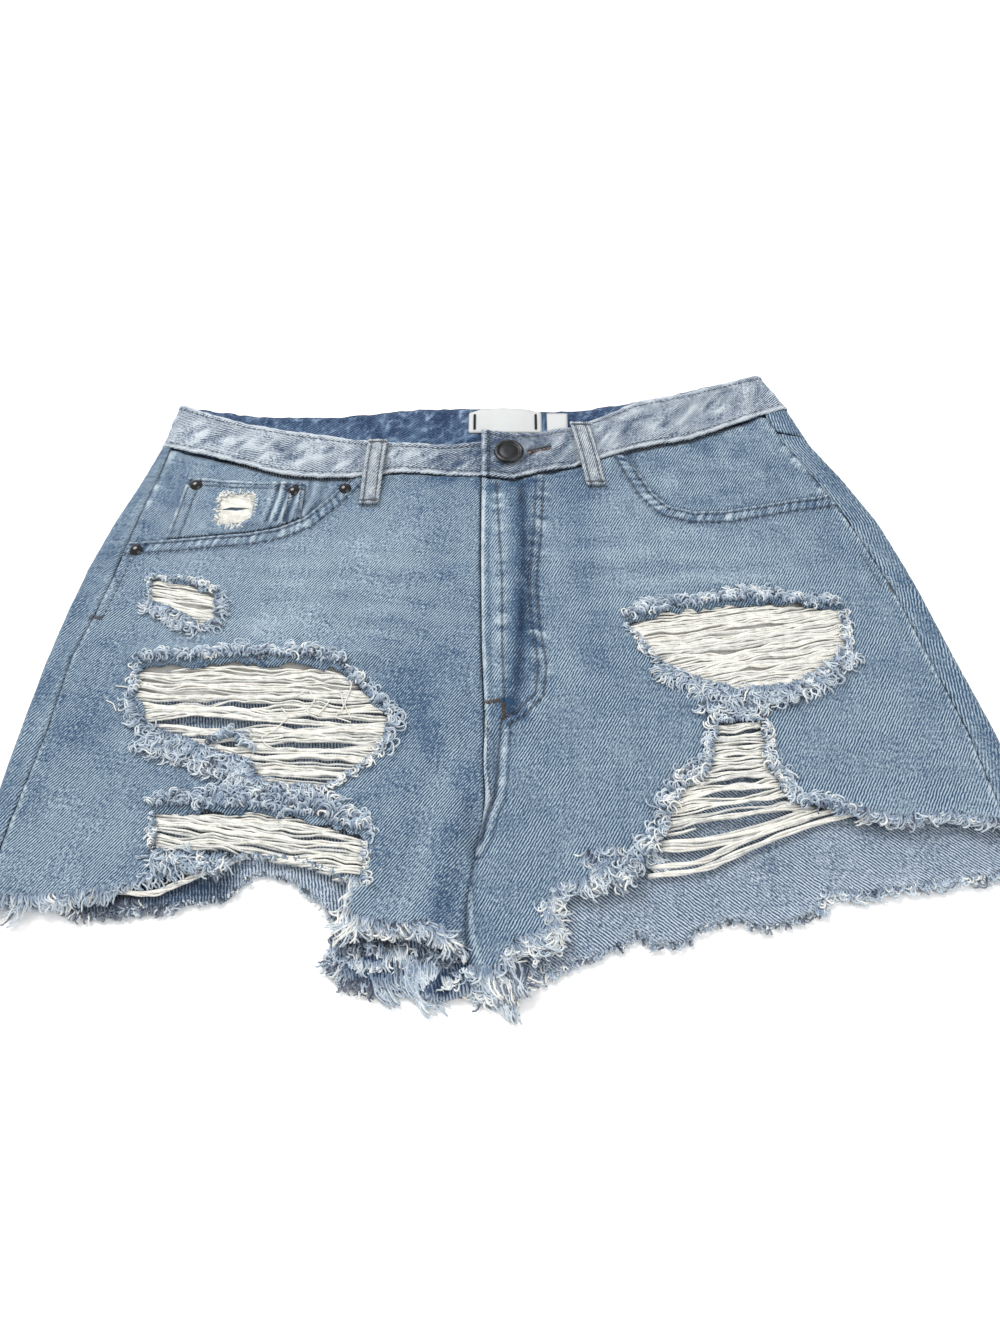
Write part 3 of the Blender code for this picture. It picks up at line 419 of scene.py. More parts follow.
def declare(piece, u, v, held, rests):
    """Work out the flat cut of a piece, from its points on the pattern, and keep it in SHEETS."""
    corners = np.empty(len(piece.data.loops), np.int32)
    piece.data.loops.foreach_get("vertex_index", corners)
    area = 0.0
    for face in piece.data.polygons:
        ring = corners[face.loop_start:face.loop_start + face.loop_total]
        a, b = u[ring], v[ring]
        area += abs(np.dot(a, np.roll(b, -1)) - np.dot(b, np.roll(a, -1))) / 2
    wide, long = np.ptp(u) * MM, np.ptp(v) * MM
    SHEETS.append((piece, (float(wide), float(long)), held, rests,
        float(min(area * 1e-6, wide * long))))


SHEETS = []


def wall(piece, thickness, inner=0):
    made = piece.modifiers.new("Wall", "SOLIDIFY")
    made.thickness = thickness * MM
    made.offset = -1
    made.material_offset = inner


def lay_cloth(mesh, place, pattern, wear_and_painted_light, shade, materials, thick, node, slot, held, rests):
    """Put a flat mesh in place as a piece of cloth: its pattern, its paint
    layers, its wall and its cut.  Materials are those of its outer and inner
    face."""
    write_points(mesh, world(*place))
    lay_pattern(mesh, *pattern)
    paint(mesh, "wear_and_painted_light", wear_and_painted_light)
    paint(mesh, "shade", shade)
    if held == "folded":
        mesh.flip_normals()
    piece = add_piece(mesh.name, mesh, materials)
    wall(piece, thick, len(materials) - 1)
    if node:
        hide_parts(node)
    declare(piece, *pattern, held, rests)


# ---- materials

class Nodes:
    """A short way to wire a material."""

    def __init__(self, name):
        self.material = bpy.data.materials.new(name)
        self.material.use_nodes = True
        self.tree = self.material.node_tree
        self.shader = self.tree.nodes["Principled BSDF"]

    def feed(self, target, value):
        if isinstance(value, bpy.types.NodeSocket):
            self.tree.links.new(value, target)
        else:
            target.default_value = value

    def add(self, kind, feeds=(), **values):
        """A new node, with pairs of an input and what feeds it."""
        made = self.tree.nodes.new(kind)
        for key, value in values.items():
            setattr(made, key, value)
        for key, value in feeds:
            self.feed(made.inputs[key], value)
        return made.outputs

    def give(self, name, value):
        self.feed(self.shader.inputs[name], value)

    def math(self, operation, a, b=0.0):
        return self.add("ShaderNodeMath", ((0, a), (1, b)), operation=operation)[0]

    def plus(self, a, b):
        return self.math("ADD", a, b)

    def times(self, a, b):
        return self.math("MULTIPLY", a, b)

    def mix(self, share, a, b, blend="MIX"):
        return self.add("ShaderNodeMix", (("Factor", share), ("A", a), ("B", b)), data_type="RGBA",
            blend_type=blend)["Result"]

    def scaled(self, vector, scale, turn=0.0):
        return self.add("ShaderNodeMapping", (("Vector", vector), ("Scale", scale),
            ("Rotation", (0, 0, turn))))[0]

    def noise(self, vector, scale, detail=2.0, rough=0.5):
        return self.add("ShaderNodeTexNoise", (("Vector", vector), ("Scale", scale), ("Detail", detail),
            ("Roughness", rough)))["Fac"]

    def ramp(self, value, low, high, to_low=0.0, to_high=1.0):
        return self.add("ShaderNodeMapRange", (("Value", value), ("From Min", low), ("From Max", high),
            ("To Min", to_low), ("To Max", to_high)), interpolation_type="SMOOTHSTEP")[0]

    def painted(self, name):
        return self.add("ShaderNodeAttribute", attribute_name=name, attribute_type="GEOMETRY")["Fac"]

    def bump(self, height, distance, strength):
        self.give("Normal", self.add("ShaderNodeBump", (("Strength", strength), ("Distance", distance),
            ("Height", height)))[0])


def colour(red, green, blue):
    """A colour as seen, 0 to 255, made linear."""
    return tuple(((c / 255 + 0.055) / 1.055) ** 2.4 if c > 10 else c / 3295 for c in (red, green,
        blue)) + (1.0,)


TWILL = 62                    # degrees: the ribs climb to the right
RIB = 0.00112                 # metres from one rib to the next


def denim(name, warp, weft, pale, turn=0.0, twill=TWILL, contrast=1.0, pitch=RIB):
    """Washed twill: fine ribs broken into short pale and blue floats, pale
    where the wear paint layer is high and deep where it is low (rubbed wear,
    and in places painted light and shade), in painted shadow where 'shade' is high."""
    warp, weft, pale = [colour(*tone) for tone in (warp, weft, pale)]
    n = Nodes(name)
    uv = n.add("ShaderNodeUVMap", uv_map="cut")[0]
    if turn:
        uv = n.scaled(uv, (1, 1, 1), math.radians(turn))
    slant = n.scaled(uv, (1, 1, 1), math.radians(-twill))
    across_ribs = n.add("ShaderNodeSeparateXYZ", ((0, slant),))[1]
    wander = n.times(n.noise(uv, 240.0), 6.0)
    phase = n.times(across_ribs, 2 * math.pi / pitch)
    rib = n.math("SINE", n.plus(phase, wander))
    shown = n.ramp(n.noise(uv, 60.0), 0.38, 0.66, 0.24, 0.80)
    rib = n.times(rib, shown)
    floats = n.noise(n.scaled(slant, (560, 1500, 1)), 1.0, 2.0, 0.65)
    grain = n.noise(uv, 1700.0, 2.0, 0.7)
    slub = n.noise(n.scaled(uv, (520, 45, 1)), 1.0)
    cross = n.noise(n.scaled(uv, (50, 620, 1)), 1.0, 1.0)
    cloud = n.noise(uv, 36.0, 3.0, 0.5)
    show = n.times(rib, 1.25 * contrast)
    for source, weight in ((floats, 3.1), (grain, 2.0), (slub, 0.5), (cross, 0.45), (cloud, 0.45)):
        centred = n.math("SUBTRACT", source, 0.5)
        show = n.plus(show, n.times(centred, weight * contrast))
    wear_and_painted_light = n.painted("wear_and_painted_light")
    fuller = n.plus(1.0, n.math("MAXIMUM", wear_and_painted_light, 0.0))
    show = n.plus(0.5, n.times(show, fuller))
    show = n.plus(show, n.times(wear_and_painted_light, 0.78))
    base = n.mix(n.ramp(show, -0.15, 1.45), warp, weft)
    rubbed = n.times(n.ramp(wear_and_painted_light, 0.2, 1.1), 0.6)
    base = n.mix(rubbed, base, pale)
    dark = n.mix(n.ramp(n.painted("shade"), 0.0, 1.0), (1, 1, 1, 1), (0.20, 0.25, 0.33, 1))
    n.give("Base Color", n.mix(1.0, base, dark, "MULTIPLY"))
    n.give("Roughness", 0.92)
    n.give("Specular IOR Level", 0.18)
    n.give("Sheen Weight", 0.08)
    n.give("Sheen Roughness", 0.5)
    n.give("Sheen Tint", (0.85, 0.92, 1.0, 1.0))
    rise = n.plus(n.times(floats, 1.0), n.times(grain, 0.6))
    n.bump(n.plus(rise, n.times(rib, 0.5)), 0.0004, 0.7)
    return n.material


def thread(name, pale, deep, grain=2600.0, root=None):
    """Loose cotton: pale yarn with painted shade in the hollows between its
    plies.  Where the paint layer 'tip' is low it has the tone of its root,
    partly the yarn's own deeper colour and partly painted shade."""
    n = Nodes(name)
    place = n.add("ShaderNodeTexCoord")["Object"]
    ply = n.noise(place, grain, 2.0, 0.6)
    tone = n.noise(place, grain / 9, 2.0, 0.5)
    share = n.ramp(n.plus(n.times(ply, 0.6), n.times(tone, 0.5)), 0.38, 0.72)
    yarn = n.mix(share, colour(*deep), colour(*pale))
    if root:
        yarn = n.mix(n.ramp(n.painted("tip"), 0.0, 0.9), colour(*root), yarn)
    n.give("Base Color", yarn)
    n.give("Roughness", 0.95)
    n.give("Specular IOR Level", 0.2)
    n.give("Sheen Weight", 0.15)
    n.bump(ply, 0.00012, 0.6)
    return n.material


FACE_TONES = (43, 70, 99), (166, 183, 194), (192, 202, 207)
# The grain of each leg follows its side seam.
FACE_DENIM = {"right": denim("washed_denim_right", *FACE_TONES, 11.0, contrast=1.2),
    "left": denim("washed_denim_left", *FACE_TONES, 2.0, contrast=0.88, pitch=0.00126)}
# The seat's outer face lies below, so its ribs are drawn the other way.
SEAT_DENIM = denim("washed_denim_seat", *FACE_TONES, twill=180 - TWILL, contrast=0.9, pitch=0.00135)
BACK_TONES = (60, 80, 106), (184, 195, 205), (204, 211, 216)
BACK_DENIM = {"right": denim("washed_denim_inside_right", *BACK_TONES, twill=100, contrast=1.4,
    pitch=0.00142), "left": denim("washed_denim_inside_left", *BACK_TONES, twill=140, contrast=1.3,
    pitch=0.00128)}
BAND_DENIM = denim("waistband_denim", (52, 70, 94), (185, 194, 202), (199, 206, 211), 90.0,
    contrast=1.15)
BAND_LINING = denim("waistband_inside", (28, 46, 76), (92, 116, 145), (150, 168, 187), 90.0)
LOOP_DENIM = denim("belt_loop_denim", (82, 95, 112), (186, 192, 196), (206, 210, 210))
CREAM_THREAD = thread("cream_weft_thread", (241, 240, 233), (208, 206, 198), root=(160, 164, 166))
# The same weft thread in painted shade, for the deeper layer of threads and dark lines between them.
SHADED_WEFT_THREAD = thread("shaded_weft_thread", (222, 222, 217), (176, 177, 174), root=(122, 127, 134))
FRAY_BLUE = thread("frayed_blue_yarn", (196, 206, 214), (147, 163, 180), 900.0, root=(108, 126, 148))
FRAY_PALE = thread("frayed_pale_yarn", (220, 226, 229), (176, 190, 202), 900.0, root=(132, 150, 172))
FRAY_WHITE = thread("frayed_white_yarn", (246, 246, 240), (212, 214, 212), 900.0, root=(164, 172, 180))
# The darkest yarns are painted shade: yarns lying in shadow under others and under the cloth.
FRAY_SHADED = thread("frayed_shaded_yarn", (138, 145, 157), (78, 88, 104), 900.0, root=(46, 56, 74))
FRAY_YARNS = [FRAY_BLUE, FRAY_PALE, FRAY_WHITE, FRAY_SHADED]
GREY_SEWING = thread("grey_sewing_thread", (104, 106, 110), (58, 64, 74))
TAN_SEWING = thread("tan_sewing_thread", (98, 84, 70), (54, 48, 44))
PURL_SEWING = thread("buttonhole_thread", (176, 150, 134), (92, 80, 80))
BLACK_SEWING = thread("label_thread", (46, 48, 56), (20, 20, 26))
SLIT_SHADOW = thread("buttonhole_shadow", (56, 64, 80), (26, 32, 46))


def cotton(name, tint, weave=2100.0, gloss=0.2, rough=0.9):
    """Plain-woven white cotton, or satin with a finer, brighter face."""
    n = Nodes(name)
    uv = n.add("ShaderNodeUVMap", uv_map="cut")[0]
    split = n.add("ShaderNodeSeparateXYZ", ((0, uv),))
    over = n.math("SINE", n.times(split[0], weave * 3))
    under = n.math("SINE", n.times(split[1], weave * 3))
    woven = n.times(over, under)
    woven = n.plus(n.times(woven, 0.5), 0.5)
    cloud = n.noise(uv, 60.0, 3.0)
    tone = n.ramp(n.plus(n.times(woven, 0.3), cloud), 0.3, 1.0)
    tint = colour(*tint)
    deep = tuple(c * 0.84 for c in tint[:3]) + (1.0,)
    shadow = tuple(c * 0.35 for c in tint[:3]) + (1.0,)
    lit = n.mix(tone, deep, tint)
    n.give("Base Color", n.mix(n.painted("shade"), lit, shadow))
    n.give("Roughness", rough)
    n.give("Specular IOR Level", gloss)
    n.give("Sheen Weight", 0.1)
    n.bump(woven, 0.00008, 0.6)
    return n.material


def metal(name, deep, rubbed, roughness, metallic=0.85):
    """Blackened metal, paler in blotches towards its rim."""
    n = Nodes(name)
    place = n.add("ShaderNodeTexCoord")["Object"]
    grain = n.noise(place, 1400.0, 3.0, 0.6)
    blotch = n.noise(place, 260.0)
    rim = n.ramp(n.painted("wear_and_painted_light"), 0.62, 0.95)
    share = n.times(rim, n.ramp(blotch, 0.40, 0.70))
    share = n.plus(n.times(share, 0.35), n.times(grain, 0.15))
    n.give("Base Color", n.mix(share, colour(*deep), colour(*rubbed)))
    n.give("Metallic", metallic)
    n.give("Roughness", n.ramp(grain, 0.3, 0.7, roughness, roughness * 1.6))
    n.bump(grain, 0.00002, 0.5)
    return n.material


POCKET_COTTON = cotton("pocket_cotton", (238, 236, 230))
LABEL_SATIN = cotton("label_satin", (196, 198, 198), 3600.0, 0.45, 0.5)
BUTTON_METAL = metal("antique_button_metal", (34, 36, 40), (104, 104, 100), 0.3)
RIVET_METAL = metal("black_rivet_metal", (6, 6, 8), (24, 24, 26), 0.10, 0.0)


# ---- front panels

def side_line(side, low, high):
    ys = [low] + [row.y for row in SIDES if low < row.y < high] + [high]
    return [(float(column(SIDES, y, side + "_seam")), y) for y in ys]


def leg_line(low, high):
    """The centre line, from its upper end down."""
    return [(float(centre_at(y)), float(y)) for y in np.linspace(high, low, round((high - low) / 4)
        + 1)]


def band_bottom(rows, low, high):
    inner = [(row.x, row.bottom) for row in rows if low < row.x < high]
    return [(low, float(column(rows, low, "bottom"))), *inner,
        (high, float(column(rows, high, "bottom")))]


def right_front_outline():
    side = side_line("right", -31, 161)
    hem = [point for point in FRONT_HEMS["right"] if point[0] > side[0][0]]
    top = band_bottom(BANDS["right"], SCOOPS["right"][-1][0], -1)
    return [side[0], *hem[:-1], *reversed(leg_line(-52, 203)), *top[::-1][1:],
        *SCOOPS["right"][::-1][1:-1], (side[-1][0], 161), *side[::-1][1:-1]]


def left_front_outline():
    side = side_line("left", 3, 193)
    hem = [point for point in FRONT_HEMS["left"] if point[0] < side[0][0]]
    top = band_bottom(BANDS["left"], -1, SCOOPS["left"][0][0])
    scoop = [point for point in SCOOPS["left"][1:] if point[0] < side[-1][0]]
    return [*hem[1:], *side, *reversed(scoop), *reversed(top[1:]), *leg_line(-61, 205)]


FRONT_OUTLINES = {"right": right_front_outline(), "left": left_front_outline()}
FRONT_RIPS = {"right": "abc", "left": "de"}
FLY_STITCH = [(7, 202), (10, 139), (10, 96), (11, 64)]
FLY_CURVE = [(33, 205), (31, 168), (28, 135), (29, 110), (32, 86), (30, 68), (20, 57), (12, 52)]
RISE_SEAM = [(0, 212), (-1, 155), (0, 96), (2, 55), (1, 31), (3, 15), (1, 4), (-2, -7)]
LAP_EDGE = [(12, 56), (10.4, 29), (9.2, 16), (5.9, 8), (3, -4), (-1, -10)]
LAP_MIDDLE = [(6, 48), (6, 30), (6, 18), (2, 4), (0, -5)]
INSEAM_EDGE = [(-4.6, -26), (-3.9, -34), (-2.8, -47), (-0.4, -56), (1.6, -61)]
FOLD_SHADOW = [(21, 200), (22, 150), (20, 110), (18, 78), (15, 60)]
PRESS_LINES = [  # pale pressed-in lines: x0 y0 x1 y1 reach strength
    (-150, 152, -14, 143, 6, 0.20), (-132, 138, -10, 129, 7, 0.26),
    (-108, 124, -12, 115, 6, 0.18), (-96, 108, -18, 101, 6, 0.14),
    (-122, 99, -30, 95, 5, 0.10), (-165, 163, -58, 157, 5, 0.10),
    (44, 168, 150, 165, 6, 0.12), (42, 151, 156, 155, 7, 0.20),
    (42, 136, 176, 141, 6, 0.20), (40, 121, 86, 124, 5, 0.12),
]
# Painted light along fold ridges (+) and painted shade in fold hollows (-), the pale partly rubbed wear.
FOLD_LIGHT_SHADE_AND_WEAR = [  # line, reach and strength of broader pale and deep folds
    (FOLD_SHADOW, 12, -0.62), ([(9, 190), (9, 70)], 7, 0.30),
    ([(-22, 200), (-26, 80)], 24, -0.16), ([(-64, 60), (-60, -20)], 26, -0.10),
    ([(-200, 120), (-206, 20)], 20, -0.14), ([(58, 70), (50, 190)], 14, -0.16),
    ([(-14, 44), (-24, 4), (-31, -36)], 8, 0.22),
    ([(-5, 26), (-13, 0), (-17, -42)], 9, -0.26),
]
# The dark patches just under the waistband, by the fly, are painted shadow of the band.
WORN_AND_SHADED_PATCHES = [  # x y, reach across and up, strength
    (-80, 142, 60, 38, 0.26), (104, 146, 68, 40, 0.20),
    (-112, 106, 50, 16, 0.22), (-192, 0, 34, 34, 0.18),
    (-29, 46, 24, 46, -0.24), (64, 22, 40, 26, 0.08),
    (200, 44, 36, 60, 0.10), (-58, 205, 40, 20, -0.16),
    (46, 202, 20, 12, -0.40), (5, 203, 9, 8, -0.35), (-16, 204, 14, 9, -0.25),
    (-198, 62, 30, 46, -0.20), (-30, 62, 26, 34, -0.20),
    (-72, 131, 22, 10, -0.12), (-110, 108, 40, 8, 0.12),
]


def front_wear_and_light(x, y):
    """Where the front is rubbed pale (+) and where it keeps its blue (-), with painted light and shade
    along its folds and painted shadow under the waistband.
    """
    wear_and_painted_light = 0.09 * rough(x / 40, y / 36, 11) + 0.05 * rough(x / 9, y / 7, 15)
    for at_x, at_y, wide, tall, strength in WORN_AND_SHADED_PATCHES:
        wear_and_painted_light += strength * np.exp(-((x - at_x) / wide) ** 2 - ((y - at_y) / tall) ** 2)
    for x0, y0, x1, y1, reach, strength in PRESS_LINES:
        wave = 2.2 * noise(x / 22, y * 0 + y0, 21)
        away = off_segment(x, y + wave, x0, y0, x1, y1)
        along = np.clip((x - x0) / (x1 - x0), 0, 1)
        fade = np.sin(np.pi * along) * (0.8 + 0.5 * noise(x / 16, y0 + x * 0, 23))
        wear_and_painted_light += strength * fade * (hump(away, reach) - 0.7 * hump(away - reach * 1.3, reach))
    for line, reach, strength in FOLD_LIGHT_SHADE_AND_WEAR:
        wear_and_painted_light += strength * hump(off_line(x, y, line)[0], reach)
    # Painted shadow under the waistband, over the fly and the top of the right leg.
    wear_and_painted_light -= 0.14 * eased((y - 172) / 30) * hump(x + 22, 62)
    return wear_and_painted_light - 0.08


def sewn_fold(x, y, line, rows, wide, seed):
    """A folded and topstitched edge: lift, wear and shade of the cloth
    beside a line, with the stitch rows drawn in and the cloth puckered
    between them."""
    away, along = off_line(x, y, line)
    fold = eased((wide - away) / 1.4)
    slant = along + 0.5 * away
    ruck = pucker(np.abs(away - wide / 2), slant, wide / 2 + 1.5, 3.1, seed)
    rope = np.cos(2 * np.pi * (slant / 4.6 + 0.45 * noise(slant / 11, slant * 0, seed + 3))) * fold
    lift = fold * (0.55 + 0.42 * ruck) + 0.16 * rope
    wear_and_painted_light = fold * (-0.04 + 0.55 * ruck) + 0.40 * hump(away - 0.4, 1.3)
    wear_and_painted_light += 0.30 * rope
    shade = 0.44 * hump(away - wide - 0.4, 1.8) + 0.12 * fold
    shade += 0.20 * np.clip(-rope, 0, 1)
    beat = 0.60 + 0.40 * np.cos(along * 2 * np.pi / STITCH)
    for row in rows:
        drawn = hump(away - row, 1.5)
        lift -= 0.25 * drawn
        shade += 0.85 * drawn * beat
        wear_and_painted_light += 0.25 * hump(np.abs(away - row) - 1.9, 0.9)
    return lift, wear_and_painted_light, shade


def front_relief(side, x, y, edge):
    """Height of the front with its seams, hems and rolled raw edges, with
    the wear that they bring and the shade that they hold."""
    z = front_height(x, y)
    wear_and_painted_light = front_wear_and_light(x, y)
    shade = np.zeros_like(z)
    z += 0.28 * rough(x / 17, y / 15, 31) + 0.08 * rough(x / 5, y / 5, 35)
    lift, rubbed, deep = sewn_fold(x, y, SCOOPS[side], (1.9, 7.4), 9.0, 41)
    z, wear_and_painted_light, shade = z + lift, wear_and_painted_light + rubbed, shade + deep
    if side == "left":
        away, along = off_line(x, y, RISE_SEAM)
        z += 0.9 * eased((36 - x) / 8) * eased((y - 46) / 10)
        ruck = pucker(away, along, 7, 5.5, 51)
        ridge = hump(away - 0.8, 3.0) * eased((y + 8) / 6)
        z += ridge * (0.6 + 0.3 * ruck)
        wear_and_painted_light += 0.95 * hump(away - 0.7, 1.8) + 0.30 * ruck
        shade += 0.40 * hump(away - 4.0, 1.6) * eased((y - 50) / 8)
        for line, pitch, seed in ((FLY_STITCH, 3.4, 55), (FLY_CURVE, 3.0, 59),
                (offset_line(FLY_CURVE, -4.0), 2.8, 63)):
            row, along = off_line(x, y, line)
            ruck = pucker(row, along, 6.5, pitch, seed)
            z += 0.45 * ruck + 0.30 * hump(row - 2.6, 2.4)
            z -= 0.28 * hump(row, 1.3)
            wear_and_painted_light += 0.60 * ruck + 0.08 * hump(row, 7)
            shade += 0.72 * hump(row, 1.5)
        deep = off_line(x, y, FOLD_SHADOW)[0]
        z -= 1.1 * hump(deep, 5.5)
        shade += (0.66 + 0.30 * noise(x / 5, y / 9, 69)) * hump(deep, 5.4)
        lap, along = off_line(x, y, LAP_EDGE)
        ruck = pucker(lap, along, 5, 4.2, 67)
        below = eased((60 - y) / 8)
        z += (0.5 * hump(lap, 2.2) + 0.30 * ruck) * below
        wear_and_painted_light += (0.52 * hump(lap - 0.3, 1.2) + 0.35 * ruck) * below
        shade += 0.62 * hump(lap - 2.4, 1.5) * below
        shade += 0.48 * hump(off_line(x, y, LAP_MIDDLE)[0], 3.6)
        tuck, along = off_line(x, y, INSEAM_EDGE)
        rope = 0.7 + 0.3 * np.cos(along * 2 * np.pi / 3.6)
        z += 0.30 * hump(tuck - 0.5, 1.2)
        wear_and_painted_light += 0.90 * rope * hump(tuck - 0.5, 1.0)
        shade += 0.22 * hump(tuck - 2.4, 1.8)
    else:
        away, along = off_line(x, y, RISE_SEAM)
        shade += 0.60 * hump(away, 2.6) * eased((y - 6) / 10)
        z -= 0.7 * hump(away, 3.4) * eased((y - 4) / 8)
        shade += 0.40 * hump(off_segment(x, y, -6, 14, -5, -8), 7)
    leg = np.abs(x - centre_at(y))
    shade += 0.45 * hump(leg, 4.0) * eased((6 - y) / 16)
    seam = side_line(side, -90, 290)
    away, along = off_line(x, y, seam)
    ruck = pucker(away, along + away, 5, 3.4, 61)
    z += 0.34 * ruck + 0.45 * hump(away - 1.6, 2.2) - 0.15 * hump(away, 1.0)
    wear_and_painted_light += 0.62 * ruck + 0.45 * hump(away - 1.4, 1.7)
    rope = np.cos(2 * np.pi * (along + 0.8 * away) / 3.6)
    wear_and_painted_light += 0.45 * rope * hump(away - 1.2, 1.9)
    shade += 0.35 * np.clip(-rope, 0, 1) * hump(away - 1.2, 1.9)
    shade += 0.15 * hump(away - 4.2, 1.3)
    under = np.abs(column(BANDS[side], x, "bottom") - y)
    shade += (0.40 + 0.22 * noise(x / 8, x * 0, 67)) * hump(under - 0.2, 2.4)
    z -= 0.4 * hump(under, 3.0)
    ruck = pucker(under, x + 0.4 * under, 12, 5.0, 65)
    z += 0.42 * ruck
    wear_and_painted_light += 0.40 * ruck
    for rip in FRONT_RIPS[side]:
        lip = nearest_on(x, y, RIPS[rip])[2]
        z += 0.9 * hump(lip, 5.0) + 0.6 * hump(lip, 9) * rough(x / 6, y / 6, 71)
        # Below each rip its raw lip is rubbed pale; along its top lip, painted shade through the wear
        # and the shade layer.
        top = eased((y - np.mean([at[1] for at in RIPS[rip]]) - 6) / 12)
        wear_and_painted_light += (0.45 - 0.75 * top) * hump(lip, 3.5)
        shade += 0.30 * top * hump(lip - 1.5, 3.5)
    lip, along = off_line(x, y, FRONT_HEMS[side])
    z += 0.9 * hump(lip, 8) * noise(along / 8, lip * 0, 75)
    wear_and_painted_light += 0.40 * hump(lip, 3.0) + 0.12 * hump(lip, 7)
    z -= 0.40 * hump(edge, 1.2)
    return z, wear_and_painted_light, shade


def make_front(side):
    outline = FRONT_OUTLINES[side]
    rips = [ragged(RIPS[rip], 2.1, k + 3) for k, rip in enumerate(FRONT_RIPS[side])]
    lines = [SCOOPS[side], side_line(side, -60, 290), [(row.x, row.bottom) for row in BANDS[side]]]
    if side == "left":
        lines += [RISE_SEAM, FLY_STITCH, FLY_CURVE, FOLD_SHADOW, LAP_EDGE, INSEAM_EDGE]
    mesh, flat = cut_flat("front_cloth_" + side, outline, rips, 1.6, lines)
    x, y = flat.T
    edge = edge_distance(x, y, [outline] + rips)
    z, wear_and_painted_light, shade = front_relief(side, x, y, edge)
    lay_cloth(mesh, (x, y, z), (x, y), wear_and_painted_light, shade, [FACE_DENIM[side], BACK_DENIM[side]], CLOTH,
        "front_panel_" + side, "denim", "laid", ["back_cloth_" + side, "pocket_bag_cloth_" + side])


# ---- back and sides

def side_fold(side, y):
    """The fold at a side: its way out, the seam, where the fold starts, its
    half height and its length round."""
    out = OUT[side]
    seam = column(SIDES, y, side + "_seam")
    high = front_height(seam, y) / 2
    length = math.pi * np.sqrt((SIDE_ROLL * SIDE_ROLL + high * high) / 2)
    return out, seam, column(SIDES, y, side + "_edge") - out * SIDE_ROLL, high, length


def rolled(side, cut_x, y, lift=0.0):
    """A point of the back's flat cut, put in place: level on the underside,
    round the side fold and in over the top.  Gives x, z and how far it has
    rolled, 0 below to 1 on top."""
    out, _, inner, high, length = side_fold(side, y)
    past = (cut_x - inner) * out
    angle = math.pi * np.clip(past / length, 0, 1)
    x = np.where(past < 0, cut_x, inner + out * (SIDE_ROLL + lift) * np.sin(angle))
    z = high * (1 - np.cos(angle)) - lift * np.cos(angle)
    over = past > length
    x = np.where(over, inner - out * (past - length), x)
    z = np.where(over, front_height(x, y) + lift, z)
    z = np.where(past < 0, 0.0, z)
    return x, z, angle / math.pi


def cut_edge(side, y):
    """X of the side seam on the back's flat cut."""
    out, seam, inner, _, length = side_fold(side, y)
    return inner + out * (length + np.abs(inner - seam) - 0.3)


def back_outline(side):
    out = OUT[side]
    hem = BACK_HEMS[side][1:-1]
    yoke = [point for point in YOKE_SEAM if out * point[0] > 8]
    ys = np.linspace(-15 if side == "left" else -36, 238 if side == "left" else 206, 24)
    seam = [(float(cut_edge(side, y)), float(y)) for y in ys]
    yoke = [point for point in yoke if out * point[0] < out * seam[-1][0] - 2]
    if side == "right":
        return [seam[0], *[p for p in hem if p[0] > seam[0][0] + 2], (float(centre_at(-71)), -71),
            *reversed(leg_line(-71, 0)[:-1]), (0, 160), *reversed(yoke), *reversed(seam[1:])]
    return [(float(centre_at(-72)), -72), *[p for p in hem if p[0] < seam[0][0] - 2], *seam,
        *reversed(yoke), (0, 160), *leg_line(-72, 0)[:-1]]


def yoke_outline(side):
    out = OUT[side]
    seam = [point for point in YOKE_SEAM if out * point[0] > 8]
    band = [(row.x, row.bottom) for row in BANDS["back"] if row.x * out > 8]
    ys = np.linspace(240 if side == "left" else 206, 257 if side == "left" else 228, 5)
    end = [(float(cut_edge(side, y)), float(y)) for y in ys]
    seam = [point for point in seam if out * point[0] < out * end[0][0] - 2]
    band = [p for p in band if out * p[0] < out * end[-1][0] - 2]
    middle = float(column(BANDS["back"], 0, "bottom"))
    if side == "right":
        return [*end, *band, (0, middle), (0, 160), *reversed(seam)]
    return [(0, 160), *seam, *end, *reversed(band), (0, middle)]


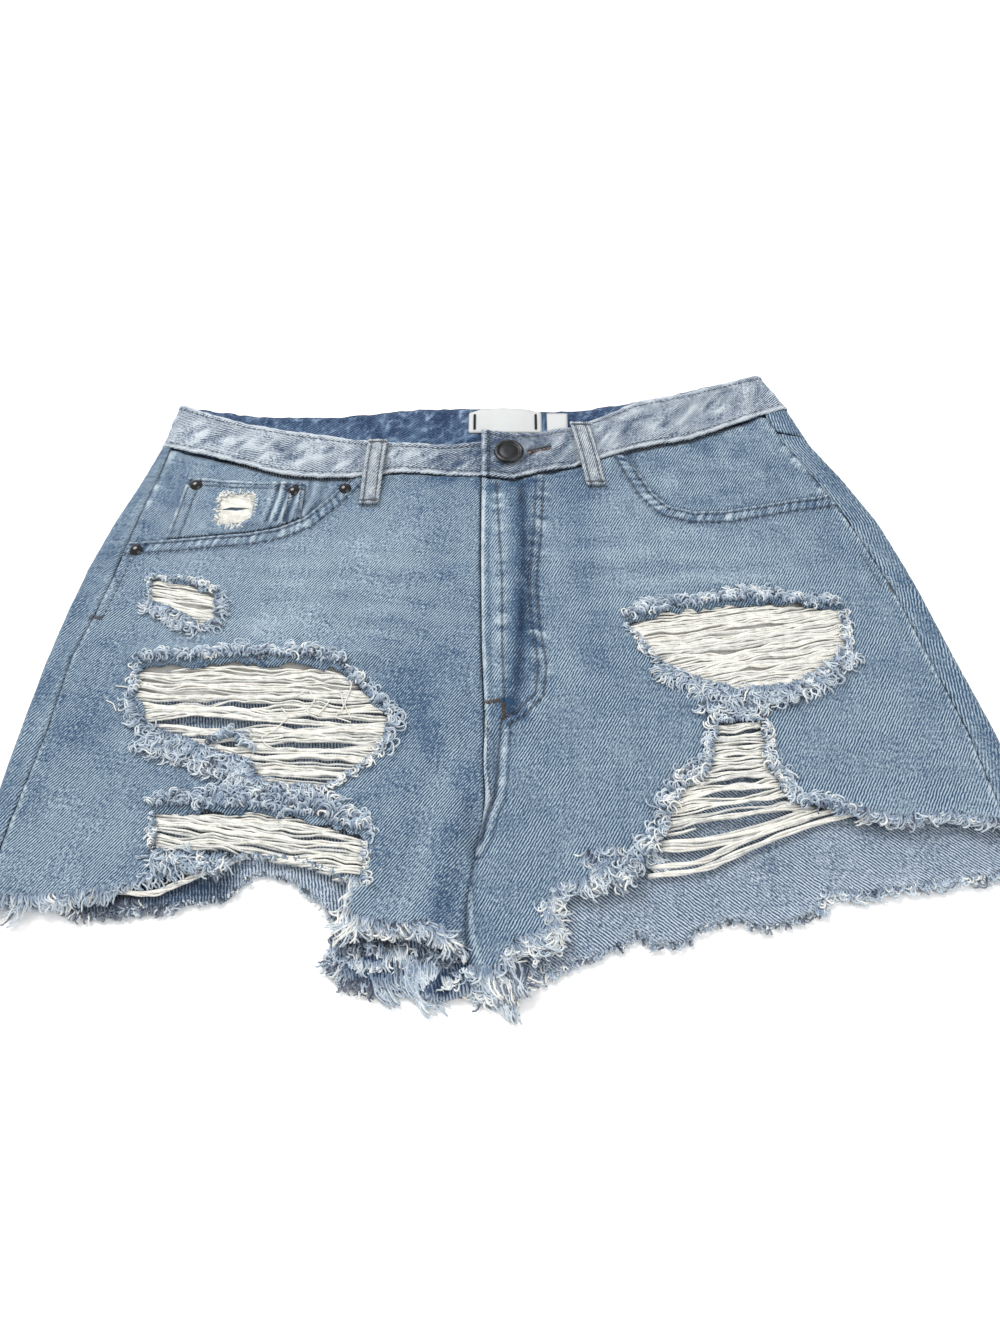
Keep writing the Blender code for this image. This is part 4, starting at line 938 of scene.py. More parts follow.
def back_relief(side, cut_x, y, turned):
    """Wear with painted light, shade and lift of the back cloth.  The underside is
    level; the side fold and the strip above it are soft and rubbed."""
    wear_and_painted_light = 0.10 * rough(cut_x / 30, y / 30, 81) + 0.05 * rough(cut_x / 8, y / 8, 85)
    wear_and_painted_light -= 0.26 * eased(turned)
    wear_and_painted_light += 0.20 * eased(turned) * rough(cut_x / 11, y / 15, 89)
    shade = np.zeros_like(wear_and_painted_light)
    seam = np.abs(cut_x - cut_edge(side, y))
    top = eased((turned - 0.6) / 0.4)
    ruck = pucker(seam, y, 6, 6.0, 61)
    lift = top * (0.35 * hump(seam - 2.4, 2.6) + 0.28 * ruck - 0.45 * hump(seam, 1.2))
    lift += top * 0.25 * rough(cut_x / 10, y / 14, 87)
    wear_and_painted_light += 0.30 * ruck + 0.35 * hump(seam - 2.2, 2.0)
    shade += 0.08 * hump(seam, 1.4)
    wear_and_painted_light += 0.35 * hump(seam - 0.4, 1.4)
    lip, along = off_line(cut_x, y, BACK_HEMS[side])
    wear_and_painted_light += 0.42 * hump(lip, 3.0) + 0.15 * hump(lip, 7)
    low = eased((4 - y) / 6) * (1 - eased(turned * 3))
    covered = off_line(cut_x, y, FRONT_HEMS[side])[0]
    shade += 0.18 * low * hump(covered, 7)
    if side == "right":
        # Painted shadow on the back cloth under the front's hem and deeper at the crotch, through the
        # shade and the wear layer; the stretch between them is painted light.
        hem_shadow = hump(off_segment(cut_x, y, -226, -34, -118, -26), 17)
        wear_and_painted_light += 0.22 * low * hump(off_segment(cut_x, y, -94, -12, -60, -26), 18)
        crotch = hump(off_segment(cut_x, y, -52, -58, -8, -62), 17)
        shade += low * (0.62 * hem_shadow + 0.95 * crotch)
        wear_and_painted_light -= low * (0.64 * hem_shadow + 0.50 * crotch)
    flat = 1 - eased(turned * 3)
    curl = 1.3 * hump(lip, 8) * (0.5 + 0.5 * noise(along / 8, lip * 0, 91))
    heap = hump(off_segment(cut_x, y, -56, -64, 14, -68), 16)
    curl += 2.6 * heap * np.clip(0.4 + rough(cut_x / 7, y / 7, 93), 0, 1.3)
    # Painted light and shade on the crumpled heap: paler on its lumps, darker between them.
    crumple = rough(cut_x / 5, y / 5, 93)
    shade += 0.8 * heap * np.clip(-crumple, 0, 1)
    wear_and_painted_light += 0.9 * heap * crumple
    return wear_and_painted_light, shade, lift, flat * curl


def make_back(side):
    for name, outline, node, slot in (("back_cloth_", back_outline(side), "back_panel_",
            "denim_inside"), ("yoke_cloth_", yoke_outline(side), "back_yoke_", "denim")):
        mesh, flat = cut_flat(name + side, outline, (), 2.4)
        cut_x, y = flat.T
        turned = rolled(side, cut_x, y)[2]
        wear_and_painted_light, shade, lift, curl = back_relief(side, cut_x, y, turned)
        x, z, turned = rolled(side, cut_x, y, lift)
        z = np.maximum(z + curl, 0)
        lay_cloth(mesh, (x, y, z), (cut_x, y), wear_and_painted_light, shade, [SEAT_DENIM, BACK_DENIM[side]], CLOTH,
            node + side, slot, "folded", ["floor"])


# ---- waistband

def front_band_height(x, end):
    if end == "under":
        return BAND_TOP - 1.3 * eased((x + 42) / 36)
    return BAND_TOP + 1.4 * eased((56 - x) / 22)


def band_path():
    """The waistband's loop, from its under end round the back to its upper
    end: points along its lower and its upper edge."""
    low, high = [], []

    def along(rows, start, end, height):
        inner = sorted(row.x for row in rows if min(start, end) < row.x < max(start, end))
        marks = sorted([start, *inner, end], reverse=start > end)
        for first, second in zip(marks, marks[1:]):
            for x in np.linspace(first, second, 6)[:-1]:
                z = float(height(x))
                low.append((x, column(rows, x, "bottom") + 0.2, z))
                high.append((x, column(rows, x, "top"), z))

    def fold(rows, edges, falling):
        out = 1 if edges[0] > 0 else -1
        for turn in range(13):
            angle = math.pi * (turn if falling else 12 - turn) / 12
            z = BAND_TOP / 2 * (1 + math.cos(angle))
            share = eased(z / BAND_TOP)
            for edge, name, line in ((edges[0], "bottom", low), (edges[1], "top", high)):
                x = edge + out * SIDE_ROLL * (math.sin(angle) - 1)
                y = column(rows, x, name) * share + column(BANDS["back"], x, name) * (1 - share)
                line.append((x, y + (0.2 if name == "bottom" else 0), z))

    right = max(BAND_RIGHT_EDGE) + SIDE_ROLL + 1
    left = min(BAND_LEFT_EDGE) - SIDE_ROLL - 1
    along(BANDS["right"], UNDERLAP_END, right, lambda x: front_band_height(x, "under"))
    fold(BANDS["right"], BAND_RIGHT_EDGE, True)
    along(BANDS["back"], right, left, lambda x: 0.0)
    fold(BANDS["left"], BAND_LEFT_EDGE, False)
    along(BANDS["left"], left, OVERLAP_END, lambda x: front_band_height(x, "over"))
    for line, name in ((low, "bottom"), (high, "top")):
        line.append((OVERLAP_END, column(BANDS["left"], OVERLAP_END, name),
            front_band_height(OVERLAP_END, "over")))
    return np.array(low), np.array(high)


BAND_LOW, BAND_HIGH = band_path()
BAND_RUN = measured((BAND_LOW + BAND_HIGH) / 2)[1]
BAND_WIDE = np.linalg.norm(BAND_HIGH - BAND_LOW, axis=1)


def band_place(along, share, lift=0.0):
    """A point of the waistband, from its place along the loop and its share
    of the height, raised off the outer face."""
    def at(s):
        low, high = [np.stack([np.interp(s, BAND_RUN, line[:, k]) for k in range(3)], axis=-1) for line
            in (BAND_LOW, BAND_HIGH)]
        return low + (high - low) * np.asarray(share)[..., None]
    ahead = at(along + 1.5) - at(along - 1.5)
    across = np.stack([ahead[..., 2], 0 * ahead[..., 0], -ahead[..., 0]], axis=-1)
    across /= np.linalg.norm(across, axis=-1)[..., None] + 1e-9
    return at(along) + across * np.asarray(lift)[..., None]


def band_relief(along, share, wide):
    """Lift, wear and shade of the waistband's outer face."""
    up = share * wide
    down = (1 - share) * wide
    slant = along + 0.8 * up
    bumps = noise(slant / 5.8, up / 7, 101)
    bumps += 0.8 * noise(slant / 3.1, up / 4.4, 103)
    body = hump(up - wide / 2, wide / 2 + 2)
    lift = 0.50 * bumps * body
    low_ruck = pucker(up, along + up, 11, 3.4, 105)
    high_ruck = pucker(down, along + down, 10, 3.8, 107)
    lift += 0.36 * low_ruck + 0.32 * high_ruck
    lift += 0.40 * hump(up - 1.6, 1.9) + 0.30 * hump(down - 1.5, 1.7)
    lift -= 0.28 * hump(up - 3.9, 1.1) + 0.28 * hump(down - 3.4, 1.1)
    lift -= 0.50 * hump(np.minimum(up, down), 1.1)
    wear_and_painted_light = 0.08 + 0.75 * bumps * body
    wear_and_painted_light += 0.70 * low_ruck + 0.62 * high_ruck
    wear_and_painted_light += 1.25 * hump(up - 1.0, 1.3) + 0.60 * hump(down - 0.9, 1.2)
    beat = 0.65 + 0.35 * np.cos(along * 2 * np.pi / STITCH)
    shade = 0.60 * hump(up - 3.9, 1.2) * beat
    shade += 0.62 * hump(down - 3.3, 1.2) * beat
    end = BAND_RUN[-1] - along
    lift += 0.3 * hump(end - 2.0, 2.0) - 0.5 * hump(end, 1.2)
    wear_and_painted_light += 1.5 * hump(end - 1.3, 2.0)
    shade += 0.75 * hump(end - 4.4, 1.3)
    return lift, wear_and_painted_light, shade


def make_band():
    length = BAND_RUN[-1]
    mesh, along, share = share_grid("waistband_cloth", round(length / 1.4), 28)
    along = along * length
    wide = np.interp(along, BAND_RUN, BAND_WIDE)
    lift, wear_and_painted_light, shade = band_relief(along, share, wide)
    level = band_place(along, share)
    lift = np.where(level[:, 2] < 0.6, np.minimum(lift, 0) * 0.5, lift)
    place = band_place(along, share, lift)
    place[:, 2] = np.maximum(place[:, 2], 0)
    edge = np.minimum(share, 1 - share) * wide
    place[:, 1] += 0.4 * noise(along / 3.6, share * 2, 109) * hump(edge, 4)
    front = eased((level[:, 2] - 4) / 2)
    middle = np.abs(level[:, 0] - 10)
    wear_and_painted_light -= 0.66 * front * hump(middle - 4, 50)
    wear_and_painted_light += 0.20 * front * eased((-30 - level[:, 0]) / 30)
    shade += 0.26 * front * hump(middle - 4, 44)
    # Painted shade along the edges of the band's back half, through the wear and the shade layer.
    rim = (1 - front) * hump(edge, 1.2)
    wear_and_painted_light -= 1.7 * rim
    shade += 0.5 * rim
    lay_cloth(mesh, place.T, (along, share * wide), wear_and_painted_light, shade, [BAND_DENIM, BAND_LINING], BAND,
        "waistband", "denim_band", "folded", ["front_cloth_right", "front_cloth_left"])


def make_band_facing():


    start, end = -171.0, 157.0
    mesh, x, share = share_grid("waistband_facing", round((end - start) / 1.6), 20)
    x = x * (end - start) + start
    share = share * 0.94 + 0.03
    low, high = column(BANDS["back"], x, "bottom"), column(BANDS["back"], x, "top")
    y = low + (high - low) * share
    edge = np.minimum(share - 0.03, 0.97 - share) * (high - low)
    bumps = noise(x / 6.5, y / 9, 111) + 0.6 * noise(x / 3.1, y / 5, 113)
    veins = 1 - np.minimum(1, 4.2 * np.abs(noise((x + 2 * bumps) / 5.2, (y + 3 * bumps) / 8, 115)))
    veins = np.maximum(veins, 0.8 - 4.0 * np.abs(noise((x - y) / 9, (x + y) / 7, 119)))
    z = LINING_LEVEL + 0.13 * np.clip(bumps, -1, 1) - 0.15 * hump(edge, 1.5)
    wear_and_painted_light = 0.34 * bumps + 1.35 * veins - 0.46
    shade = 0.35 * hump(edge - 3, 1.1) + 0.25 * hump(high - y, 1.6)
    lay_cloth(mesh, (x, y, z), (x, y), wear_and_painted_light, shade, [BAND_LINING], 0.2, None, "denim_band", "laid",
        ["waistband_cloth"])


# ---- pockets

def flat_piece(name, outline, height, materials, node, slot, details, rests, holes=(), step=2.2,
        thick=CLOTH):
    """A flat piece of cloth with soft edges; height is that of its outer
    face, and details give relief, wear and shade."""
    mesh, flat = cut_flat(name, outline, holes, step)
    x, y = flat.T
    edge = edge_distance(x, y, [outline] + list(holes))
    z = (height(x, y) if callable(height) else height) - 0.3 * hump(edge, 1.0)
    wear_and_painted_light = 0.10 * rough(x / 20, y / 20, 121)
    more, rubbed, shade = details(x, y, edge)
    z = z + more

    lay_cloth(mesh, (x, y, z), (x, y), wear_and_painted_light + rubbed, shade, materials, thick, node, slot, "laid", rests)


def facing_details(side):
    def details(x, y, edge):
        lift = 0.22 * rough(x / 13, y / 13, 131)
        wear_and_painted_light = -0.10 - 0.10 * eased((x + 92) / 8) * (side == "right")
        shade = 0.55 * hump(off_line(x, y, SCOOPS[side])[0], 5.5)
        shade += 0.15 * hump(np.abs(column(BANDS[side], x, "bottom") - y), 3.0)
        seam, along = off_line(x, y, side_line(side, 150, 260))
        ruck = pucker(seam, along, 8, 5.0, 133)
        lift += 0.30 * ruck + 1.4 * hump(seam, 10)
        wear_and_painted_light += 0.34 * rough(x / 7, y / 7, 135)
        shade += 0.10 * hump(seam - 4.6, 1.6)
        wear_and_painted_light += 0.60 * hump(seam - 1.8, 2.0) + 0.55 * ruck
        if side == "right":
            for at_x, reach in ((-88, 3.4), (-95, 2.0)):
                fold = off_line(x, y, [(at_x, 205), (at_x - 2, 192), (at_x - 7, 178)])[0]
                shade += 0.55 * hump(fold, reach)
                wear_and_painted_light += 0.40 * hump(fold - reach - 0.6, 1.6)
                lift -= 0.25 * hump(fold, reach)
        return lift, wear_and_painted_light, shade
    return details


COIN_LEFT = [(-163, 206), (-169, 164)]
COIN_RIGHT = [(-98, 202), (-98.5, 178.5)]
COIN_TOP = [(-163, 205.6), (-132, 202.8), (-98, 201.8)]


def coin_details(x, y, edge):
    lift = 0.25 * rough(x / 12, y / 12, 141)
    wear_and_painted_light = 0.22 * rough(x / 6, y / 6, 143) - 0.05
    shade = np.zeros_like(lift)
    for line, inner in ((COIN_LEFT, 7.0), (COIN_RIGHT, 8.0), (COIN_TOP, 4.5)):
        away, along = off_line(x, y, line)
        ruck = pucker(away, along, inner + 2, 3.8, 145)
        lift += 0.42 * ruck * eased((inner + 2 - away) / 2)
        wear_and_painted_light += 0.80 * ruck + 0.45 * hump(away - 0.6, 1.5)
        shade += 0.62 * hump(away - 1.9, 1.2)
        shade += 0.70 * hump(away - inner, 1.2)
        wear_and_painted_light += 0.30 * hump(away - inner - 1.4, 1.0)
    for at_x in (-102.5, -107.5, -112.5):
        fold = off_line(x, y, [(at_x, 203), (at_x - 1, 192), (at_x - 4, 176)])[0]
        lift += 0.60 * hump(fold - 2.5, 2.2) - 0.55 * hump(fold, 1.6)
        wear_and_painted_light += 0.60 * hump(fold - 2.5, 1.6)
        shade += 0.85 * hump(fold, 1.8)
    shade += 0.40 * hump(off_line(x, y, [(-128, 172), (-112, 174), (-100, 180)])[0], 6.0)
    hole = nearest_on(x, y, COIN_RIP)[2]
    lift += 0.4 * hump(hole, 4)
    wear_and_painted_light += 0.5 * hump(hole, 2.5)
    return lift, wear_and_painted_light, shade


def bag_details(x, y, edge):
    lift = 0.30 * rough(x / 16, y / 22, 151)
    return np.minimum(lift, 0.25), lift * 0, lift * 0


BAGS = {"right": [(-170, 76), (-160, 69), (-70, 69), (-54, 78), (-50, 196), (-60, 203), (-168, 203),
    (-176, 190)], "left": [(62, 84), (74, 74), (170, 70), (184, 82), (186, 180), (150, 226), (70, 212),
    (60, 190)]}


def make_pockets():
    hidden = 9.0
    side = side_line("right", 152, 227)
    lower = [(x, y - hidden) for x, y in SCOOPS["right"][1:-1]]
    right = [side[0], *lower, (-70, 190), (-70, 205),
        *reversed(band_bottom(BANDS["right"], -176, -70)[:-1]), *side[::-1][1:-1]]
    side = side_line("left", 184, 250)
    lower = [(x, y - hidden) for x, y in SCOOPS["left"][1:-1]]
    left = [(74, 212), *lower, *side, *reversed(band_bottom(BANDS["left"], 72, 158)), (72, 219)]
    for name, outline in (("right", right), ("left", left)):
        flat_piece("pocket_facing_cloth_" + name, outline, FACING_LEVEL,
            [FACE_DENIM[name], BACK_DENIM[name]], "pocket_facing_" + name, "denim",
            details=facing_details(name), rests=["pocket_bag_cloth_" + name])
        flat_piece("pocket_bag_cloth_" + name, BAGS[name], BAG_LEVEL, [POCKET_COTTON], "pocket_bag_"
            + name, "white_cotton", step=4.0, thick=COTTON, details=bag_details,
            rests=["back_cloth_" + name])
    flat_piece("coin_pocket_cloth", COIN_POCKET, front_height,
        [FACE_DENIM["right"], BACK_DENIM["right"]], "coin_pocket", "denim", holes=[COIN_RIP], step=1.4,
        details=coin_details, rests=["pocket_facing_cloth_right"])


# ---- loops, labels

# Belt loops: X and Y of the lower and of the upper end.
LOOPS = {"belt_loop_right": (-62.2, 186, -59.6, 231), "belt_loop_left": (62, 199, 54, 244)}
LOOP_WIDTH = 11.0
LOOP_LENGTH = 46
LABEL_TACKS = (-5.6, 29.6)     # the dark tacks at the ends of the label
LABELS = {"label_main": [(-9, 241), (-9, 256), (-2, 259), (11, 260.3), (25, 259), (33, 256), (33, 241)],
    "label_size": [(36, 242), (36, 256), (48, 256), (48, 242)]}


def loop_place(name, across, share):
    """Outer face of a belt loop, from its place across and its share of the
    length."""
    rows, end = {"belt_loop_right": (BANDS["right"], "under"), "belt_loop_left": (BANDS["left"],
        "over")}[name]
    x0, y0, x1, y1 = LOOPS[name]
    x = x0 + (x1 - x0) * share + across
    y = y0 + (y1 - y0) * share
    proud = np.interp(share, (0, 0.12, 0.34, 0.6, 0.86, 1), (0, 0.1, 0.9, 1.5, 1.0, 0.1))
    panel = float(front_height(x0, y0)) + 2.2
    band = front_band_height(x, end) + 2.2
    over = eased((y - column(rows, x, "bottom") + 10) / 8)
    return x, y, panel + (band - panel) * over + proud


def label_details(x, y, edge):
    lift = 0.22 * noise(x / 12, y / 9, 171) + 0.2 * hump(edge, 2)
    shade = 0.22 * hump(edge, 1.2)
    for at_x in LABEL_TACKS:
        shade += 0.5 * hump(x - at_x, 1.6) * hump(y - 249, 6.5)
    return lift, x * 0, shade


def make_loops():
    for name in LOOPS:
        mesh, across, share = share_grid(name + "_cloth", 14, 44)
        across = (across * 2 - 1) * LOOP_WIDTH / 2
        x, y, z = loop_place(name, across, share)
        long = share * LOOP_LENGTH

        side = LOOP_WIDTH / 2 - np.abs(across)
        ridge = hump(side - 0.9, 1.2)
        z = z + 0.3 * ridge - 0.5 * hump(side, 0.9) + 0.35 * hump(across, 2.6) + 0.12 * noise(across
            / 2, long / 3, 161)
        ends = np.minimum(share, 1 - share) * LOOP_LENGTH
        z -= 0.35 * hump(ends - 2.6, 1.2)
        wear_and_painted_light = 0.12 + 0.30 * ridge + 0.45 * noise(across / 3, long / 3, 163)
        wear_and_painted_light += 0.25 * hump(across, 1.8)
        shade = 0.60 * hump(side - 2.4, 1.2) + 0.5 * hump(ends - 2.4, 1.2)
        lay_cloth(mesh, (x, y, z), (across, long), wear_and_painted_light, shade, [LOOP_DENIM, BACK_DENIM["right"]], 1.8,
            name, "denim_band", "laid", ["waistband_cloth", "front_cloth_" + name[10:]])
    for name, outline in LABELS.items():
        flat_piece(name + "_cloth", outline, LABEL_LEVEL, [LABEL_SATIN], name, "white_cotton", step=1.2,
            thick=0.45, details=label_details, rests=["waistband_facing"])


# ---- yarns

def make_yarns(name, strands, thickness, materials, nodes=()):
    """Many yarns as one mesh.  A strand is points of x, y, z, share of the
    thickness and, for some, tone from root to tip (partly painted shade), with
    the number of its material."""
    strands = [(np.asarray(points, float), int(tone)) for points, tone in strands]
    curve = bpy.data.curves.new(name, "CURVE")
    curve.dimensions = "3D"
    curve.bevel_depth = thickness / 2 * MM
    curve.bevel_resolution = 0
    curve.use_fill_caps = True
    for material in materials:
        curve.materials.append(material)
    for points, tone in strands:
        spline = curve.splines.new("POLY")
        spline.points.add(len(points) - 1)
        places = np.ones((len(points), 4))
        places[:, :3] = world(*points[:, :3].T)
        spline.points.foreach_set("co", places.ravel())
        spline.points.foreach_set("radius", points[:, 3])
        spline.material_index = tone
    guide = bpy.data.objects.new(name + "_guide", curve)
    mesh = bpy.data.meshes.new_from_object(guide)
    bpy.data.objects.remove(guide)
    bpy.data.curves.remove(curve)
    tips = [points[:, 4] if points.shape[1] > 4 else points[:, 3] * 0 + 1 for points, _ in strands]
    caps = [end for tip in reversed(tips) for end in (tip[-1], tip[0])]
    paint(mesh, "tip", np.repeat(np.concatenate([caps, *tips]), 4))
    cage = bmesh.new()
    cage.from_mesh(mesh)
    bmesh.ops.remove_doubles(cage, verts=cage.verts, dist=1e-6)
    bmesh.ops.recalc_face_normals(cage, faces=cage.faces)
    cage.to_mesh(mesh)
    cage.free()
    piece = add_piece(name, mesh)
    if nodes:
        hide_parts(*nodes)


def spread_along(line, count, chance):
    """Places along a line, about evenly, with the way that the line runs."""
    line, run = measured(line)
    for k in range(count):
        at = (k + chance.random()) / count * run[-1]
        i = min(int(np.searchsorted(run, at, side="right")) - 1, len(run) - 2)
        step = math.dist(line[i], line[i + 1])
        share = (at - run[i]) / step
        ahead = (line[i + 1] - line[i]) / step
        yield line[i] + (line[i + 1] - line[i]) * share, ahead


def curl(chance, x, y, heading, length, z0, z1, lift, bend, wave=0.4, steps=7):
    """One loose yarn from its root on the cloth, curled round at its end."""
    points = []
    phase = chance.uniform(0, 6.28)
    tip = chance.uniform(0.72, 1.0)
    for k in range(steps):
        share = k / (steps - 1)
        z = z0 + (z1 - z0) * eased(share * 1.3) + lift * math.sin(math.pi * share)
        # The last column runs from the root's tone, partly painted shade, to the yarn's own.
        points.append((x, y, z, 1 - (1 - tip) * share ** 3, eased(0.1 + share * 1.2)))
        aim = heading + bend * share ** 1.3 + wave * (math.sin(phase + 8 * share) - math.sin(phase))
        x += math.cos(aim) * length / (steps - 1)
        y += math.sin(aim) * length / (steps - 1)
    return points


Style = namedtuple("Style", "count spread turn wave gather")
CURLS = Style((3, 6), 0.85, 5.2, 0.35, 0.0)
WAVES = Style((4, 7), 0.68, 2.4, 0.60, 0.1)
BRUSH = Style((6, 10), 0.55, 1.7, 0.28, 0.2)
TASSEL = Style((18, 24), 0.56, 2.2, 0.20, 0.75)
NOODLES = Style((2, 4), 1.3, 7.5, 0.70, 0.0)


def tuft(chance, place, aim, length, style, z0, z1, tones):
    """A lock of a raw edge: yarns side by side that bend one way."""
    along = np.array([math.cos(aim), math.sin(aim)])
    beside = np.array([along[1], -along[0]])
    hand = chance.choice((-1, 1)) if style.gather < 0.5 else 1
    bend = hand * chance.uniform(0.4, 1.0) * style.turn
    lift = chance.uniform(0.2, 1.6)
    tone = chance.choices(range(4), tones)[0]
    count = chance.randint(*style.count)
    even = 0.45 if style.gather > 0.5 else 1.0
    for k in range(count):
        off = (k - (count - 1) / 2) * style.spread
        root = place + beside * (off + chance.gauss(0, 0.25)) - along * chance.uniform(-0.3, 2.0)
        inward = math.atan(off * style.gather / length)
        own = chance.choices(range(4), tones)[0] if chance.random() < 0.45 else tone
        yield curl(chance, root[0], root[1], aim + inward + chance.gauss(0, 0.12 * even),
            length * (1 - chance.uniform(-0.1, 0.22) * even), z0 + 0.4 * (k % 3), z1 + 0.35 * (k % 3),
            lift * chance.uniform(0.6, 1.3), bend + chance.gauss(0, 0.15 + 0.1 * style.turn) * even,
            style.wave, 12 if style.turn > 6 else 9 if style.turn > 4 else 7), own


def lip(rip, first, last, out):
    """A stretch of a rip's edge, by its corners, moved out from the rip, or
    a line of its own."""
    if isinstance(first, list):
        return first
    loop = RIPS[rip] * 2
    line = offset_line(loop[first:last + 1], out)
    return [tuple(point) for point in line]


Fray = namedtuple("Fray", "first last out length dense style tones")
BLUE = 6, 4, 0.5, 1.0
MIXED = 4, 5, 1.4, 0.5
WHITE = 1, 4, 5, 0.1
SHADED = 1.6, 1.0, 0.5, 9
GREY = 5, 2.4, 0.8, 5
LOCK = 6, 3.0, 0.8, 2.4
# Raw edges by rip: first and last corner of the stretch that the yarns stand on, or a line of its
# own, and how far out; the yarns' length, how many to a millimetre, style and the mix of tones:
# blue, pale, white and shaded, the last a painted shade.
RIP_FRAYS = {"right": {"a": [(0, 1, 1.5, 4, 1.2, CURLS, WHITE), (1, 2, 2.8, 6, 1.6, CURLS, WHITE),
    (2, 4, 0.5, 8, 2.0, WAVES, BLUE), (4, 6, 1.0, 9, 2.5, WAVES, MIXED), (4, 6, 3.5, 8, 1.3, WAVES,
    MIXED), (6, 7, 0.5, 4, 1.0, CURLS, WHITE)], "b": [(0, 4, 6.5, 7.5, 1.6, CURLS, MIXED),
    (0, 4, 4.5, 5.5, 1.2, CURLS, BLUE), (4, 6, 1.5, 7, 1.9, CURLS, MIXED), (5, 7, 2.5, 10, 1.5, CURLS,
    BLUE), (6, 9, 0.5, 6, 1.8, CURLS, WHITE), (9, 10, 0.5, 6, 2.2, WAVES, MIXED),
    (10, 14, 0.0, 9, 2.5, WAVES, BLUE), (10, 14, 3.5, 10, 2.5, WAVES, BLUE),
    (11, 14, 7.0, 9, 1.7, WAVES, MIXED), (14, 15, 2.0, 9, 1.9, WAVES, BLUE),
    (15, 16, 0.5, 6, 1.5, CURLS, WHITE), ([(-127, 43), (-118, 48), (-110, 41)], 0, 0, 8, 2.2, CURLS,
    BLUE)], "c": [(0, 4, 3.5, 7, 1.6, CURLS, MIXED), (0, 4, 6.5, 8, 1.5, CURLS, BLUE),
    (1, 4, 9.5, 8, 1.4, CURLS, MIXED), (4, 5, 0.3, 5, 1.4, CURLS, WHITE), (7, 9, 0.5, 8, 2.5, WAVES,
    MIXED), (7, 9, 4.0, 8, 2.1, WAVES, BLUE), (9, 10, 0.3, 5, 1.4, CURLS, WHITE)]},
    "left": {"d": [(0, 3, 5.5, 8, 1.8, CURLS, MIXED), (0, 3, 3.0, 6, 1.4, CURLS, BLUE),
    ([(124, 126), (152, 129)], 0, 0, 8, 2.2, CURLS, MIXED), (3, 4, 2.5, 8, 1.8, CURLS, BLUE),
    (4, 5, 0.5, 8, 1.8, CURLS, WHITE), (5, 6, 3.0, 12, 1.0, NOODLES, BLUE), (5, 7, 0.5, 10, 2.8, WAVES,
    MIXED), (5, 7, 4.0, 9, 2.5, WAVES, BLUE), (7, 9, 0.5, 10, 2.8, WAVES, BLUE),
    (7, 9, 4.0, 9, 2.8, WAVES, BLUE), ([(138, 65), (122, 61), (106, 62)], 0, 0, 9, 2.2, CURLS, MIXED),
    (9, 10, 0.5, 7, 2.6, WAVES, MIXED), (9, 10, 3.5, 8, 2.0, WAVES, BLUE), (10, 11, 0.3, 6, 1.6, CURLS,
    WHITE)], "e": [(0, 1, 0.5, 5, 1.6, CURLS, MIXED), (1, 3, 0.5, 7, 1.8, CURLS, WHITE),
    (3, 4, 0.5, 8, 2.1, CURLS, MIXED), (2, 4, 3.5, 7, 1.5, CURLS, MIXED), (7, 10, 0.5, 8, 2.1, CURLS,
    WHITE), (7, 9, 4.0, 8, 1.5, CURLS, MIXED), (10, 12, 0.5, 9, 2.1, CURLS, WHITE),
    (10, 12, 4.0, 9, 1.7, CURLS, BLUE), (12, 13, 0.3, 8, 1.8, CURLS, WHITE)]}}
FRAY_NODES = {"right": ("fray_a", "fray_b_low", "fray_b_top", "fray_c_top"),
    "left": ("fray_d_low", "fray_d_top")}


def locks_along(chance, line, dense, style):
    """Places for the locks of an edge, with the way it faces."""
    yarns = measured(line)[1][-1] * dense
    locks = max(1, round(yarns * 2 / sum(style.count)))
    for place, ahead in spread_along(line, locks, chance):
        yield place, math.atan2(ahead[0], -ahead[1])


def make_rip_frays():
    chance = random.Random(RIP_FRAY_SEED)
    for side, rips in RIP_FRAYS.items():
        strands = []
        for rip, fray in [(rip, Fray(*row)) for rip, rows in rips.items() for row in rows]:
            line = lip(rip, fray.first, fray.last, fray.out)
            for place, aim in locks_along(chance, line, fray.dense, fray.style):
                level = float(front_height(*place)) + chance.uniform(0.4, 1.5)
                length = fray.length * chance.uniform(0.75, 1.25)
                strands += tuft(chance, place, aim + chance.gauss(0, 0.4), length, fray.style, level,
                    level - 0.3, fray.tones)
        make_yarns("rip_fray_" + side, strands, FRAY, FRAY_YARNS, FRAY_NODES[side])


Hem = namedtuple("Hem", "line length dense tones style fall")
